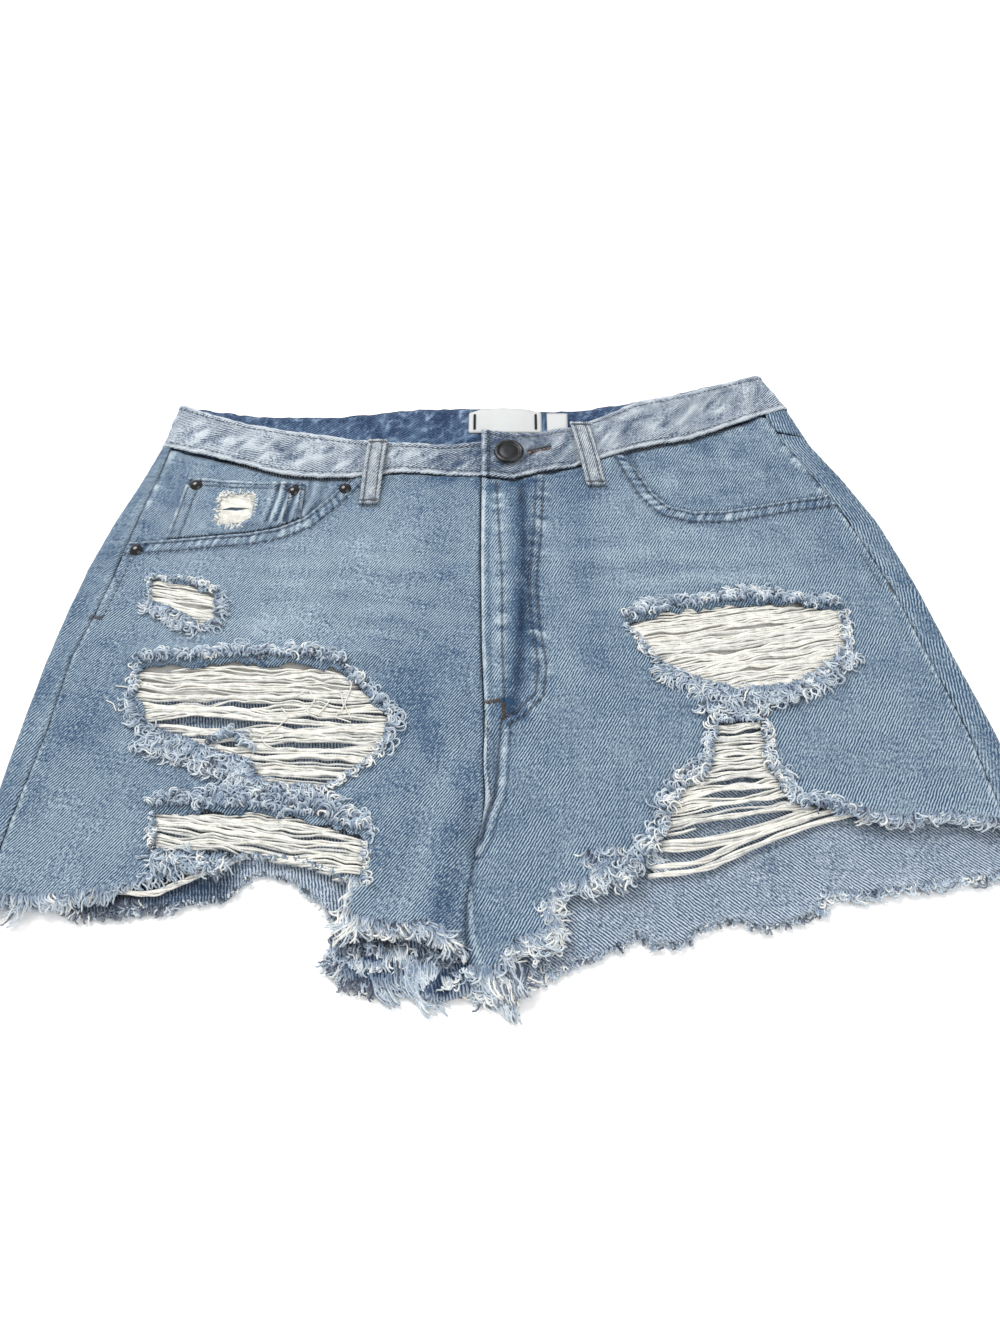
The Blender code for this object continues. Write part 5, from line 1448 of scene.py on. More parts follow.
# Raw hems: the line of the roots, the yarns' length, how many to a
# millimetre, tones, style and the way they fall, in degrees.
HEMS_FRONT = [([(-218, -30), (-201, -31), (-182, -30), (-161, -27)], 7, 3.9, MIXED, BRUSH, -92),
    ([(-199, -33), (-196, -33)], 12, 3.0, MIXED, BRUSH, -100), ([(-186, -32), (-180, -31)], 8, 3.4,
    MIXED, WAVES, -80), ([(-161, -27), (-152, -24), (-140, -20), (-118, -14)], 7, 3.4, BLUE, WAVES,
    -125), ([(-118, -14), (-104, -12), (-78, -14), (-56, -24)], 3, 1.3, BLUE, WAVES, -100),
    ([(-54, -22), (-55.5, -32), (-56.5, -42)], 8, 3.4, WHITE, BRUSH, -118), ([(-58, -38), (-52, -41)],
    14, 6.5, WHITE, BRUSH, -104), ([(-54, -40), (-43, -42), (-30, -44), (-22, -43)], 7, 6, LOCK, BRUSH,
    -96), ([(-52, -43), (-43, -46), (-34, -47)], 5, 4.0, WHITE, CURLS, -80),
    ([(-36, -46), (-27, -43), (-20, -44)], 6, 4.0, BLUE, CURLS, -60),
    ([(-27, -42), (-18, -45), (-9, -52)], 9, 8, LOCK, BRUSH, -60), ([(-18, -45), (-9, -52)], 8, 4,
    WHITE, BRUSH, -72), ([(-5, -60), (3, -63), (10, -63)], 9, 5.0, MIXED, CURLS, -95),
    ([(3, -61), (18, -62)], 15, 7.4, GREY, TASSEL, -90), ([(12, -62), (13, -54), (20, -51), (27, -51)],
    10, 4.5, WHITE, CURLS, -70), ([(14, -50), (24, -48), (31, -44)], 10, 3.4, MIXED, WAVES, -60),
    ([(22, -56), (36, -53)], 10, 0.6, WHITE, NOODLES, -50),
    ([(31, -47), (34, -44), (30, -38), (32, -32)], 10, 4.5, WHITE, WAVES, -70),
    ([(29, -38), (35, -26), (44, -24)], 9, 4.5, MIXED, CURLS, -80),
    ([(44, -24), (51, -22), (54, -17), (60, -22)], 10, 5.0, MIXED, WAVES, -85),
    ([(46, -14), (54, -9), (62, -10)], 9, 3.9, BLUE, CURLS, -110), ([(50, -20), (56, -14), (64, -15)],
    8, 2.8, MIXED, CURLS, -90), ([(71, -3), (78, -2)], 20, 2.8, MIXED, TASSEL, -104),
    ([(67, -14), (73, -13)], 10, 4.5, MIXED, WAVES, -80),
    ([(160, 13), (172, 10), (178, 7), (191, 5), (213, 7), (240, 3)], 7, 4.5, MIXED, CURLS, -90)]
HEMS_BACK = [([(-226, -32), (-206, -33), (-180, -34)], 3, 1.6, MIXED, WAVES, -90),
    ([(-180, -35), (-165, -37), (-130, -33)], 5, 3.2, SHADED, WAVES, -90), ([(-160, -29), (-150, -34)], 9,
    3.9, SHADED, TASSEL, -70), ([(-130, -33), (-111, -31), (-100, -19), (-83, -22), (-70, -32),
    (-61, -42)], 1.8, 1.4, GREY, WAVES, -90), ([(-61, -43), (-62, -58), (-54, -66)], 6, 4.0, MIXED,
    WAVES, -110), ([(-56, -64), (-46, -67), (-38, -67)], 7, 4.0, SHADED, WAVES, -84),
    ([(-56, -54), (-46, -52), (-38, -54)], 8, 1.6, GREY, CURLS, -75), ([(-24, -52), (-14, -57)], 10,
    3.4, SHADED, BRUSH, -60), ([(-58, -50), (-46, -50), (-38, -51)], 8, 3.0, GREY, WAVES, -80),
    ([(-58, -57), (-48, -58), (-40, -59)], 8, 4.0, MIXED, WAVES, -96),
    ([(-30, -57), (-20, -56), (-12, -60)], 8, 3.0, GREY, WAVES, -80), ([(-36, -52), (-31, -52)], 13,
    5.0, WHITE, BRUSH, -88), ([(-35, -55), (-30, -56), (-25, -59)], 17, 2.0, WHITE, NOODLES, -90),
    ([(-42, -64), (-35, -64)], 13, 6.0, GREY, TASSEL, -88), ([(-31, -59), (-20, -59)], 19, 10, MIXED,
    TASSEL, -94), ([(-17, -64), (-6, -67), (6, -70)], 9, 3.6, WHITE, CURLS, -85),
    ([(-15, -61), (-2, -66)], 9, 3.0, GREY, WAVES, -80), ([(3, -65), (14, -67)], 14, 8.5, GREY, TASSEL,
    -90), ([(17, -68), (37, -60)], 4, 2.2, MIXED, WAVES, -80), ([(20, -62), (36, -57)], 9, 0.4, WHITE,
    NOODLES, -60), ([(37, -60), (57, -53), (70, -46), (74, -51), (88, -51), (93, -45), (111, -40),
    (123, -44), (148, -37)], 2.6, 1.7, GREY, WAVES, -90),
    ([(148, -37), (153, -26), (166, -29), (193, -25), (221, -21), (254, -16)], 6.5, 3.4, MIXED, CURLS,
    -90)]


def make_hem_frays():
    chance = random.Random(HEM_FRAY_SEED)
    for name, hems, nodes in (("hem_fray_front", HEMS_FRONT, ("fringe_front_left_crotch",
            "fringe_front_left_side", "fringe_front_right_crotch", "fringe_front_right_side")),
            ("hem_fray_back", HEMS_BACK, ("fringe_back_left", "fringe_back_right_crotch",
            "fringe_back_right_side"))):
        front = hems is HEMS_FRONT
        strands = []
        for hem in (Hem(*row) for row in hems):
            for place, _ in locks_along(chance, hem.line, hem.dense, hem.style):
                if front:
                    z0 = float(front_height(*place)) + chance.uniform(-0.7, 0.6)
                    z1 = max(2.3, z0 - chance.uniform(0.5, 3.2))
                else:
                    z0 = chance.uniform(0.8, 2.4)
                    z1 = chance.uniform(0.5, 1.2)
                length = hem.length * chance.uniform(0.7, 1.2)
                aim = math.radians(hem.fall) + chance.gauss(0, 0.16)
                strands += tuft(chance, place, aim, length, hem.style, z0, z1, hem.tones)
        make_yarns(name, strands, FRAY, FRAY_YARNS, nodes)


# ---- rip threads

WEFTS = {"a": RIPS["a"], "b": [(-169, 82), (-116, 85), (-70, 82), (-57, 71), (-43, 57), (-45, 43),
    (-54, 32), (-72, 21), (-101, 22), (-109, 34), (-127, 38), (-156, 51), (-169, 68)],
    "c": [(-149, 8), (-121, 9), (-93, 7), (-71, 2), (-51, -5), (-50, -26), (-77, -17), (-98, -10),
    (-125, -9.5), (-146, -9)], "d": [(72, 109), (97, 117), (128, 121.5), (184, 119), (182, 95),
    (169, 84), (149, 73), (123, 71), (105, 77), (86, 89)], "e": [(112, 54), (136, 56), (134, 32),
    (144, 14), (153, 11.5), (126, 7), (102, 3.5), (84, -2), (86, 8), (91, 19), (105, 30)]}
Gap = namedtuple("Gap", "x0 y0 x1 y1 height")
WEFT_GAPS = {"a": [(-160, 125, -133, 119, 3.0)], "b": [(-133, 67, -100, 63, 5.6),
    (-160, 58, -100, 51, 8.0), (-100, 44, -58, 41, 4.6), (-104, 75, -66, 73, 2.6),
    (-124, 44.5, -112, 43, 2.4), (-168, 72, -118, 70, 2.0), (-166, 79, -104, 80, 1.8),
    (-96, 34, -58, 33, 2.4), (-94, 57, -50, 54, 2.6), (-150, 47, -120, 45, 2.6)],
    "c": [(-146, -2, -100, -1, 2.4), (-112, -6, -70, -12, 2.2), (-92, 1, -56, -8, 1.8),
    (-140, 4, -108, 5, 1.4)], "d": [(118, 106, 166, 112, 3.0), (98, 92, 152, 98, 2.4),
    (84, 104, 124, 108, 1.6), (110, 80, 160, 88, 1.8)], "e": [(111, 49, 135, 50, 1.8),
    (112, 42.5, 133, 43.5, 2.6), (110, 36, 133, 37, 2.4), (107, 29, 134, 30, 3.0),
    (100, 23, 136, 24, 2.6), (96, 16, 140, 19, 3.2), (92, 9.5, 146, 14, 2.6), (90, 3, 150, 9, 3.8),
    (86, -3, 146, 4, 2.6)]}
# How thickly small chance gaps part the threads of each rip.
PARTED = {"a": 0.2, "b": 1.0, "c": 0.9, "d": 0.3, "e": 0.4}
# How far they draw together in strands, in millimetres.
DRAWN = {"a": 0.2, "b": 0.65, "c": 0.5, "d": 0.28, "e": 0.7}
# Slope of the threads at the top and at the foot of each rip.
SLOPES = {"a": (-0.16, -0.22), "b": (-0.01, -0.04), "c": (-0.10, -0.16), "d": (0.13, 0.22),
    "e": (0.02, 0.24)}
# Threads drawn together: route, height, how many, breadth and twist.
LONG_STRANDS = [([(-161, -27), (-144, -29), (-134, -25), (-126, -21), (-114, -15), (-102, -10.5)], 3.6,
    5, 1.9, 2.6), ([(71, -21), (97, -18.5), (116, -10), (144, 2), (175, 10)], 3.8, 4, 1.6, 2.6),
    ([(73, -17), (97, -15), (112, -7.5), (140, 4.5), (171, 13)], 4.0, 4, 1.5, 2.6),
    ([(78, -7), (100, -6), (126, 0), (155, 10.5)], 4.0, 9, 4.6, 0.5)]


def ends_of(loop, y0, slope, middle):
    """Where a slanting line crosses an outline, from left to right."""
    hits = []
    for (xa, ya), (xb, yb) in zip(loop, loop[1:] + loop[:1]):
        fa = ya - (y0 + slope * (xa - middle))
        fb = yb - (y0 + slope * (xb - middle))
        if (fa > 0) != (fb > 0):
            hits.append(xa + (xb - xa) * fa / (fa - fb))
    return sorted(hits)


def thread_rows(rip, loop, chance, pitch):
    """The threads of a rip: for each, x and y along it."""
    xs, ys = zip(*loop)
    middle = (min(xs) + max(xs)) / 2
    top_slope, foot_slope = SLOPES[rip]
    high, low = max(ys) + 6, min(ys) - 6
    gaps = [Gap(*row) for row in WEFT_GAPS[rip]]
    area = (max(xs) - min(xs)) * (high - low)
    for _ in range(round(PARTED[rip] * area / 300)):
        x0 = chance.uniform(min(xs) - 12, max(xs) - 12)
        y0 = chance.uniform(low, high)
        gaps.append(Gap(x0, y0, x0 + chance.uniform(18, 60), y0 + chance.uniform(-1.8, 1.2),
            chance.uniform(0.7, 2.3)))
    y0 = low
    while y0 < high:
        y0 += pitch * chance.uniform(0.75, 1.25)
        share = (high - y0) / (high - low)
        slope = top_slope + (foot_slope - top_slope) * share
        hits = ends_of(loop, y0, slope, middle)
        for x0, x1 in zip(hits[::2], hits[1::2]):
            if x1 - x0 < 3:
                continue
            x0 -= chance.uniform(1.0, 2.6)
            x1 += chance.uniform(1.0, 2.6)
            x = np.linspace(x0, x1, max(5, round((x1 - x0) / 2.6)))
            y = y0 + slope * (x - middle)
            push = np.zeros_like(x)
            for gap in gaps:
                along = np.clip((x - gap.x0) / (gap.x1 - gap.x0), 0, 1)
                open_ = np.sin(np.pi * along) ** 0.8
                at = gap.y0 + (gap.y1 - gap.y0) * along
                away = y - at
                over = 1 if np.sum(away * open_) >= 0 else -1
                push += over * gap.height / 2 * open_ * np.exp(-np.abs(away) / 2.4)
            y = y + push + chance.uniform(0.1, 0.35) * np.sin(x / chance.uniform(2.2, 6.0)
                + chance.uniform(0, 6.28))
            y += 1.3 * noise(x / 17, x * 0 + y0 * 0.26, 181)
            y += 0.8 * noise(x / 6, x * 0 + y0 * 0.4, 183)
            y += DRAWN[rip] * np.sin(y0 * 1.15 + 2 * noise(x / 30, y0 / 9, 191))
            yield x, y


def thread_heights(x, y, chance, depth):
    """Threads come from under the cloth at both ends and lie about level
    with it between."""
    ends = np.minimum(x - x[0], x[-1] - x)
    level = front_height(x, y)
    z = level - 1.75 + (1.2 - depth) * eased(ends / 5.0)
    z += 0.16 * np.sin(x / 0.9 + chance.uniform(0, 6.28))
    return z + 0.25 * noise(x / 7, y / 3, 185)


def long_strand(line, z, count, wide, twist):
    """A few threads drawn together into one strand."""
    line = np.array(line, float)
    run = np.linspace(0, len(line) - 1, 14 * len(line))
    x, y = line_at(line, run)
    for k in range(count):
        turn = run * twist + k * 2 * math.pi / count
        drift = noise(run * 2.2, run * 0 + k, 187)
        # Painted shade: darker towards both ends, where the strand meets the cloth; one thread in three
        # takes the shaded thread.
        tip = 0.35 + 0.65 * eased(3 * np.minimum(run, run[-1] - run))
        points = np.stack([x, y + wide / 2 * np.cos(turn) + 0.5 * drift, z + 0.5 * np.sin(turn),
            1.1 + 0.15 * drift, tip], axis=-1)
        yield points, int(k % 3 == 2)


def line_at(line, run):
    """Points of a line with its corners eased."""
    near = [[np.interp(np.clip(run + step, 0, len(line) - 1), range(len(line)), line[:, axis]) for step
        in (-0.4, -0.2, 0, 0.2, 0.4)] for axis in (0, 1)]
    return np.mean(near[0], axis=0), np.mean(near[1], axis=0)


def make_threads():
    chance = random.Random(THREAD_SEED)
    for side, rips in FRONT_RIPS.items():
        strands = []
        for rip in rips:
            for depth, pitch in ((0.0, 1.0), (0.8, 1.9)):
                for x, y in thread_rows(rip, WEFTS[rip], chance, pitch):
                    z = thread_heights(x, y, chance, depth)
                    size = chance.uniform(0.8, 1.15) * (1 + 0.12 * noise(x / 3, y * 2, 189))
                    # Painted shade: darker towards the ends, where the threads go under the cloth, and
                    # in the deeper layer, which takes the shaded thread, as does a quarter of the rest.
                    ends = np.minimum(x - x[0], x[-1] - x)
                    tip = (1 - 0.3 * depth) * (0.45 + 0.55 * eased(ends / 5))
                    points = np.stack([x, y, z, size, tip], axis=-1)
                    strands.append((points, chance.random() < 0.25 or depth > 0))
        for strand in LONG_STRANDS:
            if (strand[0][0][0] < 0) == (side == "right"):
                strands += long_strand(*strand)
        if side == "right":
            strands += coin_threads(chance) + stray_threads()
            nodes = "weft_a", "weft_b", "weft_c", "weft_coin", "weft_strand_c"
        else:
            nodes = "weft_d", "weft_e", "weft_strand_e"
        make_yarns("rip_threads_" + side, strands, WEFT, [CREAM_THREAD, SHADED_WEFT_THREAD],
            nodes)


def coin_threads(chance):
    found = []
    y = 173.5
    while y < 194:
        y += 0.9
        hits = ends_of(COIN_RIP, y, 0.06, -134)
        if len(hits) < 2:
            continue
        x = np.linspace(hits[0] - 1.5, hits[1] + 1.5, 9)
        yy = y + 0.06 * (x + 134) + 0.3 * np.sin(x / 2 + y)
        yy += 1.35 * np.where(yy > 184, 1, -1) * np.exp(-np.abs(yy - 184) / 2.5) * np.sin(np.pi
            * np.clip((x + 142) / 14, 0, 1))
        z = front_height(x, yy) - 0.55 + 0.2 * np.sin(x)
        found.append((np.stack([x, yy, z, x * 0 + 0.9], axis=-1), 0))
    for _ in range(110):
        x, y, heading = chance.choice([(chance.uniform(-144, -125), chance.uniform(191, 194.5), 1.57),
            (chance.uniform(-144, -130), chance.uniform(172, 175), -1.57), (chance.uniform(-127, -124),
            chance.uniform(178, 194), 0.3), (chance.uniform(-144, -142), chance.uniform(174, 192),
            2.9)])
        z = float(front_height(x, y)) + 0.15
        wisp = np.array(curl(chance, x, y, heading + chance.gauss(0, 0.45), chance.uniform(1.4, 3.2), z,
            z, 0.3, chance.uniform(-1.0, 1.0)))
        wisp[:, 3] *= 0.5
        found.append((wisp, 0))
    return found


# Thin threads that wander over the large rip and its pocket.
STRAYS = [[(-96, 62), (-92, 57), (-98, 50), (-104, 46), (-101, 42), (-96, 40)],
    [(-90, 68), (-84, 72), (-80, 66), (-84, 60), (-78, 58), (-73, 66)],
    [(-74, 70), (-68, 70), (-66, 62), (-70, 57), (-62, 54)], [(-178, 74), (-172, 73), (-166, 73)],
    [(-181, 66), (-177, 64), (-175, 60)], [(-66, 84), (-63, 74), (-66, 64), (-62, 56)]]


def stray_threads():

    found = []
    for path in STRAYS:
        path = np.array(path, float)
        run = np.linspace(0, len(path) - 1, 5 * len(path))
        x = np.interp(run, range(len(path)), path[:, 0])
        y = np.interp(run, range(len(path)), path[:, 1])
        x[1:-1] = (x[:-2] + 2 * x[1:-1] + x[2:]) / 4
        y[1:-1] = (y[:-2] + 2 * y[1:-1] + y[2:]) / 4
        z = front_height(x, y) + 0.25 + 0.5 * np.abs(np.sin(run * 2))
        found.append((np.stack([x, y, z, x * 0 + 0.55], axis=-1), 0))
    return found


# ---- sewing

Row = namedtuple("Row", "place line shift")
# Rows of stitches: what they are sewn through, the line that they follow and how far to its left
# they run.
STITCH_ROWS = [("right", SCOOPS["right"], -1.9), ("right", SCOOPS["right"], -7.4),
    ("left", SCOOPS["left"], -1.9), ("left", SCOOPS["left"], -7.4), ("left", FLY_STITCH, 0),
    ("left", FLY_CURVE, 0), ("left", FLY_CURVE, -4.0),
    ("left", [(1.5, 55), (1.5, 30), (3.5, 15), (2.5, 6)], 1.6), ("left", LAP_EDGE, -2.6),
    ("coin", COIN_LEFT, 2.0), ("coin", COIN_LEFT, 7.0), ("coin", COIN_RIGHT, -2.0),
    ("coin", COIN_RIGHT, -8.0), ("coin", COIN_TOP, -1.9), ("coin", COIN_TOP, -4.6)]


def dashes(line):
    """Start and end of each stitch along a line."""
    line, run = measured(line)
    found = []
    for k in range(int(run[-1] / STITCH)):
        ends = [(k + 0.1) * STITCH, (k + 0.84) * STITCH]
        found.append([[np.interp(at, run, line[:, c]) for c in (0, 1)] for at in ends])
    return np.array(found).reshape(-1, 2, 2)


def front_surface(side, x, y):
    outline = FRONT_OUTLINES[side]
    rips = [RIPS[rip] for rip in FRONT_RIPS[side]]
    return front_relief(side, x, y, edge_distance(x, y, [outline] + rips))[0]


def coin_surface(x, y):
    edge = edge_distance(x, y, [COIN_POCKET, COIN_RIP])
    return front_height(x, y) - 0.3 * hump(edge, 1) + coin_details(x, y, edge)[0]


STITCH_SHARES = np.array([0, 0.16, 0.5, 0.84, 1])
STITCH_SIZE = np.array([0.7, 1, 1, 1, 0.7])
STITCH_RISE = np.array([-0.35, 0.10, 0.2, 0.10, -0.35])

BAND_RISE = np.array([-0.35, 0.05, 0.14, 0.05, -0.35])


def stitch(ends, heights, size=1.0):
    """One stitch: both ends drawn into the cloth."""
    (x0, y0), (x1, y1) = ends
    z = heights[0] + (heights[1] - heights[0]) * STITCH_SHARES + STITCH_RISE
    return np.stack([x0 + (x1 - x0) * STITCH_SHARES, y0 + (y1 - y0) * STITCH_SHARES, z,
        STITCH_SIZE * size], axis=-1)


def sewn(place, found):
    """Stitches on a front panel or on the coin pocket."""
    x, y = found.reshape(-1, 2).T
    z = coin_surface(x, y) if place == "coin" else front_surface(place, x, y)
    return [(stitch(ends, heights), 0) for ends, heights in zip(found, z.reshape(-1, 2))]


def make_sewing():

    strands = []
    for row in (Row(*row) for row in STITCH_ROWS):
        found = dashes(offset_line(row.line, row.shift))
        if row.place == "coin":
            keep = np.array([inside(*d.mean(axis=0), COIN_POCKET) and not inside(*d.mean(axis=0),
                COIN_RIP) for d in found])
        else:
            keep = np.array([inside(*d.mean(axis=0), FRONT_OUTLINES[row.place]) for d in found])
        strands += sewn(row.place, found[keep])
    for side, low, high in (("right", 112, 160), ("left", 132, 156)):
        line = [(x - OUT[side] * 5.2, y) for x, y in side_line(side, low, high)]
        strands += sewn(side, dashes(line))
    strands += band_stitches() + loop_stitches() + bartacks() + underside_stitches()
    make_yarns("sewing", strands, SEWING, [GREY_SEWING, TAN_SEWING, PURL_SEWING, BLACK_SEWING])


def band_stitches():
    found = []
    for from_low, from_top in ((3.9, None), (None, 3.3)):
        along = 3.0
        while along < BAND_RUN[-1] - 5:
            s = along + np.array([0, 0.4, 1.25, 2.1, 2.5])
            wide = np.interp(s, BAND_RUN, BAND_WIDE)
            share = from_low / wide if from_low else 1 - from_top / wide
            level = band_place(s, share)
            if level[2, 2] > 0.6:
                lift = band_relief(s, share, wide)[0]
                place = band_place(s, share, lift + BAND_RISE)
            else:
                place = level
                place[:, 2] = 0.24 - BAND_RISE
            if not -1.5 < level[2, 0] < 26 or level[2, 2] > 6.8 or level[2, 2] < 1:
                found.append((np.column_stack([place, STITCH_SIZE]), 0))
            along += STITCH
    end = BAND_RUN[-1] - 4.2
    for k in range(8):
        share = 0.14 + k * 0.1
        shares = share + np.array([0, 0.02, 0.04, 0.06, 0.075])
        s = np.full(5, end)
        wide = np.interp(s, BAND_RUN, BAND_WIDE)
        lift = band_relief(s, shares, wide)[0]
        place = band_place(s, shares, lift + BAND_RISE)
        found.append((np.column_stack([place, STITCH_SIZE]), 0))
    return found


def loop_stitches():
    found = []
    for name in LOOPS:
        for across in (-3.1, 3.1):
            for k in range(13):
                share = np.array([0, 0.2, 0.5, 0.8, 1]) * 0.055 + 0.05 + (k * 0.0715)
                x, y, z = loop_place(name, across, share)
                rise = np.array([-0.3, 0.08, 0.16, 0.08, -0.3])
                found.append((np.column_stack([x, y, z + rise, STITCH_SIZE]), 0))
        for share in (0.045, 0.955):
            for k in range(16):
                across = -4.6 + k * 9.2 / 15
                reach = np.array([-0.018, 0, 0.018])
                x, y, z = loop_place(name, across, share + reach)
                found.append((np.column_stack([x, y, z + (-0.2, 0.3, -0.2), (0.8, 1, 0.8)]), 0))
    return found


def bearings(x0, y0, x1, y1):
    """Length of a short line, and the ways along and across it."""
    long = math.hypot(x1 - x0, y1 - y0)
    ahead = np.array([(x1 - x0) / long, (y1 - y0) / long])
    return long, ahead, np.array([-ahead[1], ahead[0]])


# Blocks of close stitches where the strain is: side, both ends and thread.
BLOCKS = [("left", 1.5, 64.5, 10, 65.5, 1), ("left", 10.5, 64, 11.5, 54, 1), ("right", -198, 113, -191,
    112, 0), ("left", 209, 134, 210, 127, 0)]


def bartacks():
    """The blocks, the purled buttonhole and the label's tacks."""

    found = []
    chance = random.Random(BARTACK_SEED)
    for side, x0, y0, x1, y1, tone in BLOCKS:
        long, ahead, across = bearings(x0, y0, x1, y1)
        for k in range(int(long / 0.85)):
            middle = np.array([x0, y0]) + ahead * k * 0.85 + across * chance.gauss(0, 0.3)
            reach = across * chance.uniform(0.9, 1.5) + ahead * chance.gauss(0, 0.15)
            ends = np.array([middle - reach, middle + reach])
            z = front_surface(side, ends[:, 0], ends[:, 1]) + 0.1
            found.append((stitch(ends, z, chance.uniform(0.8, 1.1)), tone))
    start = np.array(BUTTONHOLE[:2])
    long, ahead, across = bearings(*BUTTONHOLE)
    for sign in (-1, 1):
        for k in range(int(long / 0.7)):
            root = start + ahead * (k + 0.25) * 0.7
            lean = ahead * chance.uniform(-0.3, 0.3)
            ends = np.array([root + across * sign * 0.45, root + across * sign * 1.6 + lean])
            z = front_band_height(ends[:, 0], "over") + 0.42
            tone = 0 if sign > 0 else (1, 2, 2)[chance.randrange(3)]
            found.append((stitch(ends, z, 0.9), tone))
    for at_x in LABEL_TACKS:
        for k in range(20):
            ends = np.array([(at_x - 0.55, 243.4 + 0.58 * k), (at_x + 0.55, 243.7 + 0.58 * k)])
            found.append((stitch(ends, np.full(2, 3.75), 1.0), 3))
    return found


def underside_stitches():
    """Double rows along the seams of the seat, laid into the cloth."""
    found = []
    centre = [(0, 225), (0, 160), (0, 0), (-3, -66)]
    for line, shifts in ((YOKE_SEAM, (-1.8, -7.0)), (centre, (1.8, 7.0))):
        for shift in shifts:
            for ends in dashes(offset_line(line, shift)):
                x, y = ends[:, 0], ends[:, 1]
                if not (np.abs(x) < np.abs(column(SIDES, y, "right_edge")) - 9).all():
                    continue
                points = stitch(ends, np.array([0.0, 0.0]))
                points[:, 2] = np.array([0.7, 0.36, 0.3, 0.36, 0.7])
                found.append((points, 0))
    return found


# ---- metal

BUTTON = 14.0, 221.0
BUTTONHOLE = 24.5, 222.2, 38.0, 226.0
BUTTON_PROFILE = [(0.001, 2.35), (2.0, 2.4), (4.4, 2.3), (5.1, 2.05), (5.6, 2.1), (6.0, 2.5),
    (6.5, 2.8), (7.2, 2.85), (7.9, 2.6), (8.25, 2.15), (8.3, 1.6), (8.0, 1.2), (6.6, 0.9), (3.0, 0.7),
    (3.0, 0.05), (0.001, 0.05)]
RIVET_RADIUS = 3.4
RIVET_PROFILE = [(0.001, 1.72), (0.7, 1.68), (1.3, 1.56), (1.9, 1.34), (2.4, 1.06), (2.8, 0.74),
    (3.15, 0.42), (RIVET_RADIUS, 0.2), (3.35, 0.05), (0.001, 0.05)]

RIVETS = {"rivet_coin_right": (-158, 200), "rivet_coin_left": (-104, 196), "rivet_pocket_top": (-76,
    197.5), "rivet_pocket_side": (-183, 156)}


def turn_profile(name, profile, place, steps, material, node):
    """A profile of (radius, height), top to bottom, turned round."""
    cage = bmesh.new()
    corners = [cage.verts.new((radius * MM, 0, height * MM)) for radius, height in profile]
    edges = [cage.edges.new(pair) for pair in zip(corners, corners[1:])]
    bmesh.ops.spin(cage, geom=corners + edges, cent=(0, 0, 0), axis=(0, 0, 1), angle=2 * math.pi,
        steps=steps)
    bmesh.ops.remove_doubles(cage, verts=cage.verts, dist=2e-6)
    bmesh.ops.recalc_face_normals(cage, faces=cage.faces)
    x, y, z = world(*place)
    for corner in cage.verts:
        corner.co += Vector((float(x), float(y), float(z)))
    mesh = tidy_mesh(cage, name)
    points = read_points(mesh)
    away = np.hypot(points[:, 0] - x, points[:, 1] - y) / MM
    paint(mesh, "wear_and_painted_light", away / max(r for r, _ in profile))
    piece = add_piece(name, mesh, [material])
    mesh.set_sharp_from_angle(angle=math.radians(50))
    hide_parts(node)


def make_metal():
    x, y = BUTTON
    seat = front_band_height(x, "over") + 0.3
    turn_profile("button_cap", BUTTON_PROFILE, (x, y, seat), 72, BUTTON_METAL, "button")
    for name, (x, y) in RIVETS.items():
        rim = [(x + RIVET_RADIUS * math.cos(turn), y + RIVET_RADIUS * math.sin(turn)) for turn
            in (0, 1.57, 3.14, 4.71)]
        seat = max(float(front_height(*point)) for point in rim) + 0.4
        turn_profile(name + "_head", RIVET_PROFILE, (x, y, seat), 48, RIVET_METAL, name)


def make_buttonhole():
    """The dark slit between the purled edges: a thin sheet in painted shadow."""
    x0, y0, x1, y1 = BUTTONHOLE
    mesh, share, wide = share_grid("buttonhole_slit", 24, 4)
    across = bearings(*BUTTONHOLE)[2]
    wide = (wide * 2 - 1) * 1.2 + 0.3
    x = x0 + (x1 - x0) * share + across[0] * wide
    y = y0 + (y1 - y0) * share + across[1] * wide
    z = front_band_height(x, "over") + 0.62 - 0.5 * hump(wide, 0.7)
    write_points(mesh, world(x, y, z))
    piece = add_piece("buttonhole_slit", mesh, [SLIT_SHADOW])
    wall(piece, 0.5)
    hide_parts("buttonhole_stitch")


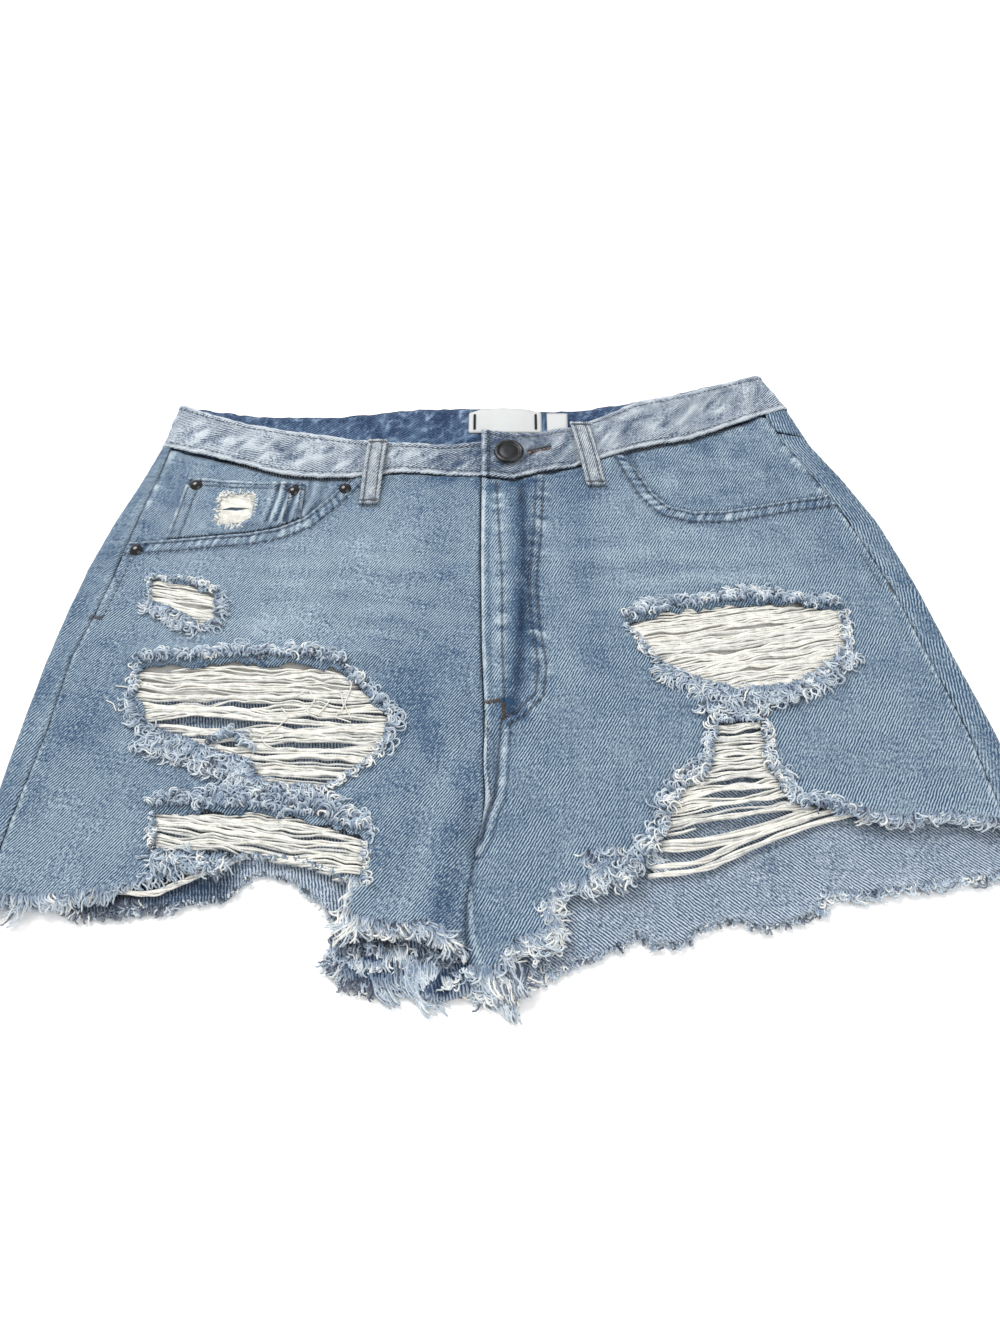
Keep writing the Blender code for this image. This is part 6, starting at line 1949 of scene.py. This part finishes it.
for make, side in ((make_front, "right"), (make_front, "left"), (make_back, "right"),
        (make_back, "left")):
    make(side)
for make in (make_band, make_band_facing, make_pockets, make_loops, make_rip_frays, make_hem_frays,
        make_threads, make_sewing, make_metal, make_buttonhole):
    make()


# ---- stage

FLOOR_DROP = 0.0004           # metres below the cloth, so that the two never share a plane
CAMERA_PLACE = (9, -161, 432)         # in the tables' millimetres
CAMERA_TILT = 30              # degrees up from straight down
CAMERA_LENS = (27.0, 36.0)    # focal length and width of the picture
SKY = 0.72                    # brightness all round
# Place in metres, breadth and power.
LAMPS = {"key": ((-0.7, 0.9, 1.3), 0.9, 26.0), "fill": ((0.9, -0.7, 1.2), 1.2, 8.0)}


def make_stage():
    cage = bmesh.new()
    bmesh.ops.create_grid(cage, x_segments=1, y_segments=1, size=6.0)
    for corner in cage.verts:
        corner.co.z = -FLOOR_DROP
    mesh = tidy_mesh(cage, "floor")
    floor = put("floor", mesh)
    n = Nodes("pale_floor")
    place = n.add("ShaderNodeTexCoord")["Object"]
    mottle = n.noise(place, 30.0)
    n.give("Base Color", n.mix(mottle, (0.95, 0.95, 0.95, 1), (0.97, 0.97, 0.97, 1)))
    n.give("Roughness", 0.9)
    mesh.materials.append(n.material)

    world_light = bpy.data.worlds.new("studio")
    world_light.use_nodes = True
    sky = world_light.node_tree.nodes["Background"]
    sky.inputs[0].default_value = (1.0, 1.0, 1.0, 1)
    sky.inputs[1].default_value = SKY
    bpy.context.scene.world = world_light
    bpy.context.scene.view_settings.view_transform = "Standard"

    for name, (place, size, power) in LAMPS.items():
        lamp = bpy.data.lights.new(name, "AREA")
        lamp.size = size
        lamp.energy = power
        holder = put(name, lamp)
        holder.location = place
        holder.rotation_euler = (-Vector(place)).to_track_quat("-Z", "Y").to_euler()

    camera = bpy.data.cameras.new("camera")
    camera.lens, camera.sensor_width = CAMERA_LENS
    camera.clip_start = 0.01
    holder = put("camera", camera)
    holder.location = world(*CAMERA_PLACE)
    holder.rotation_euler = (math.radians(CAMERA_TILT), 0, 0)
    bpy.context.scene.camera = holder


make_stage()

for piece, flat, held, rests, area in SHEETS:
    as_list(rests)
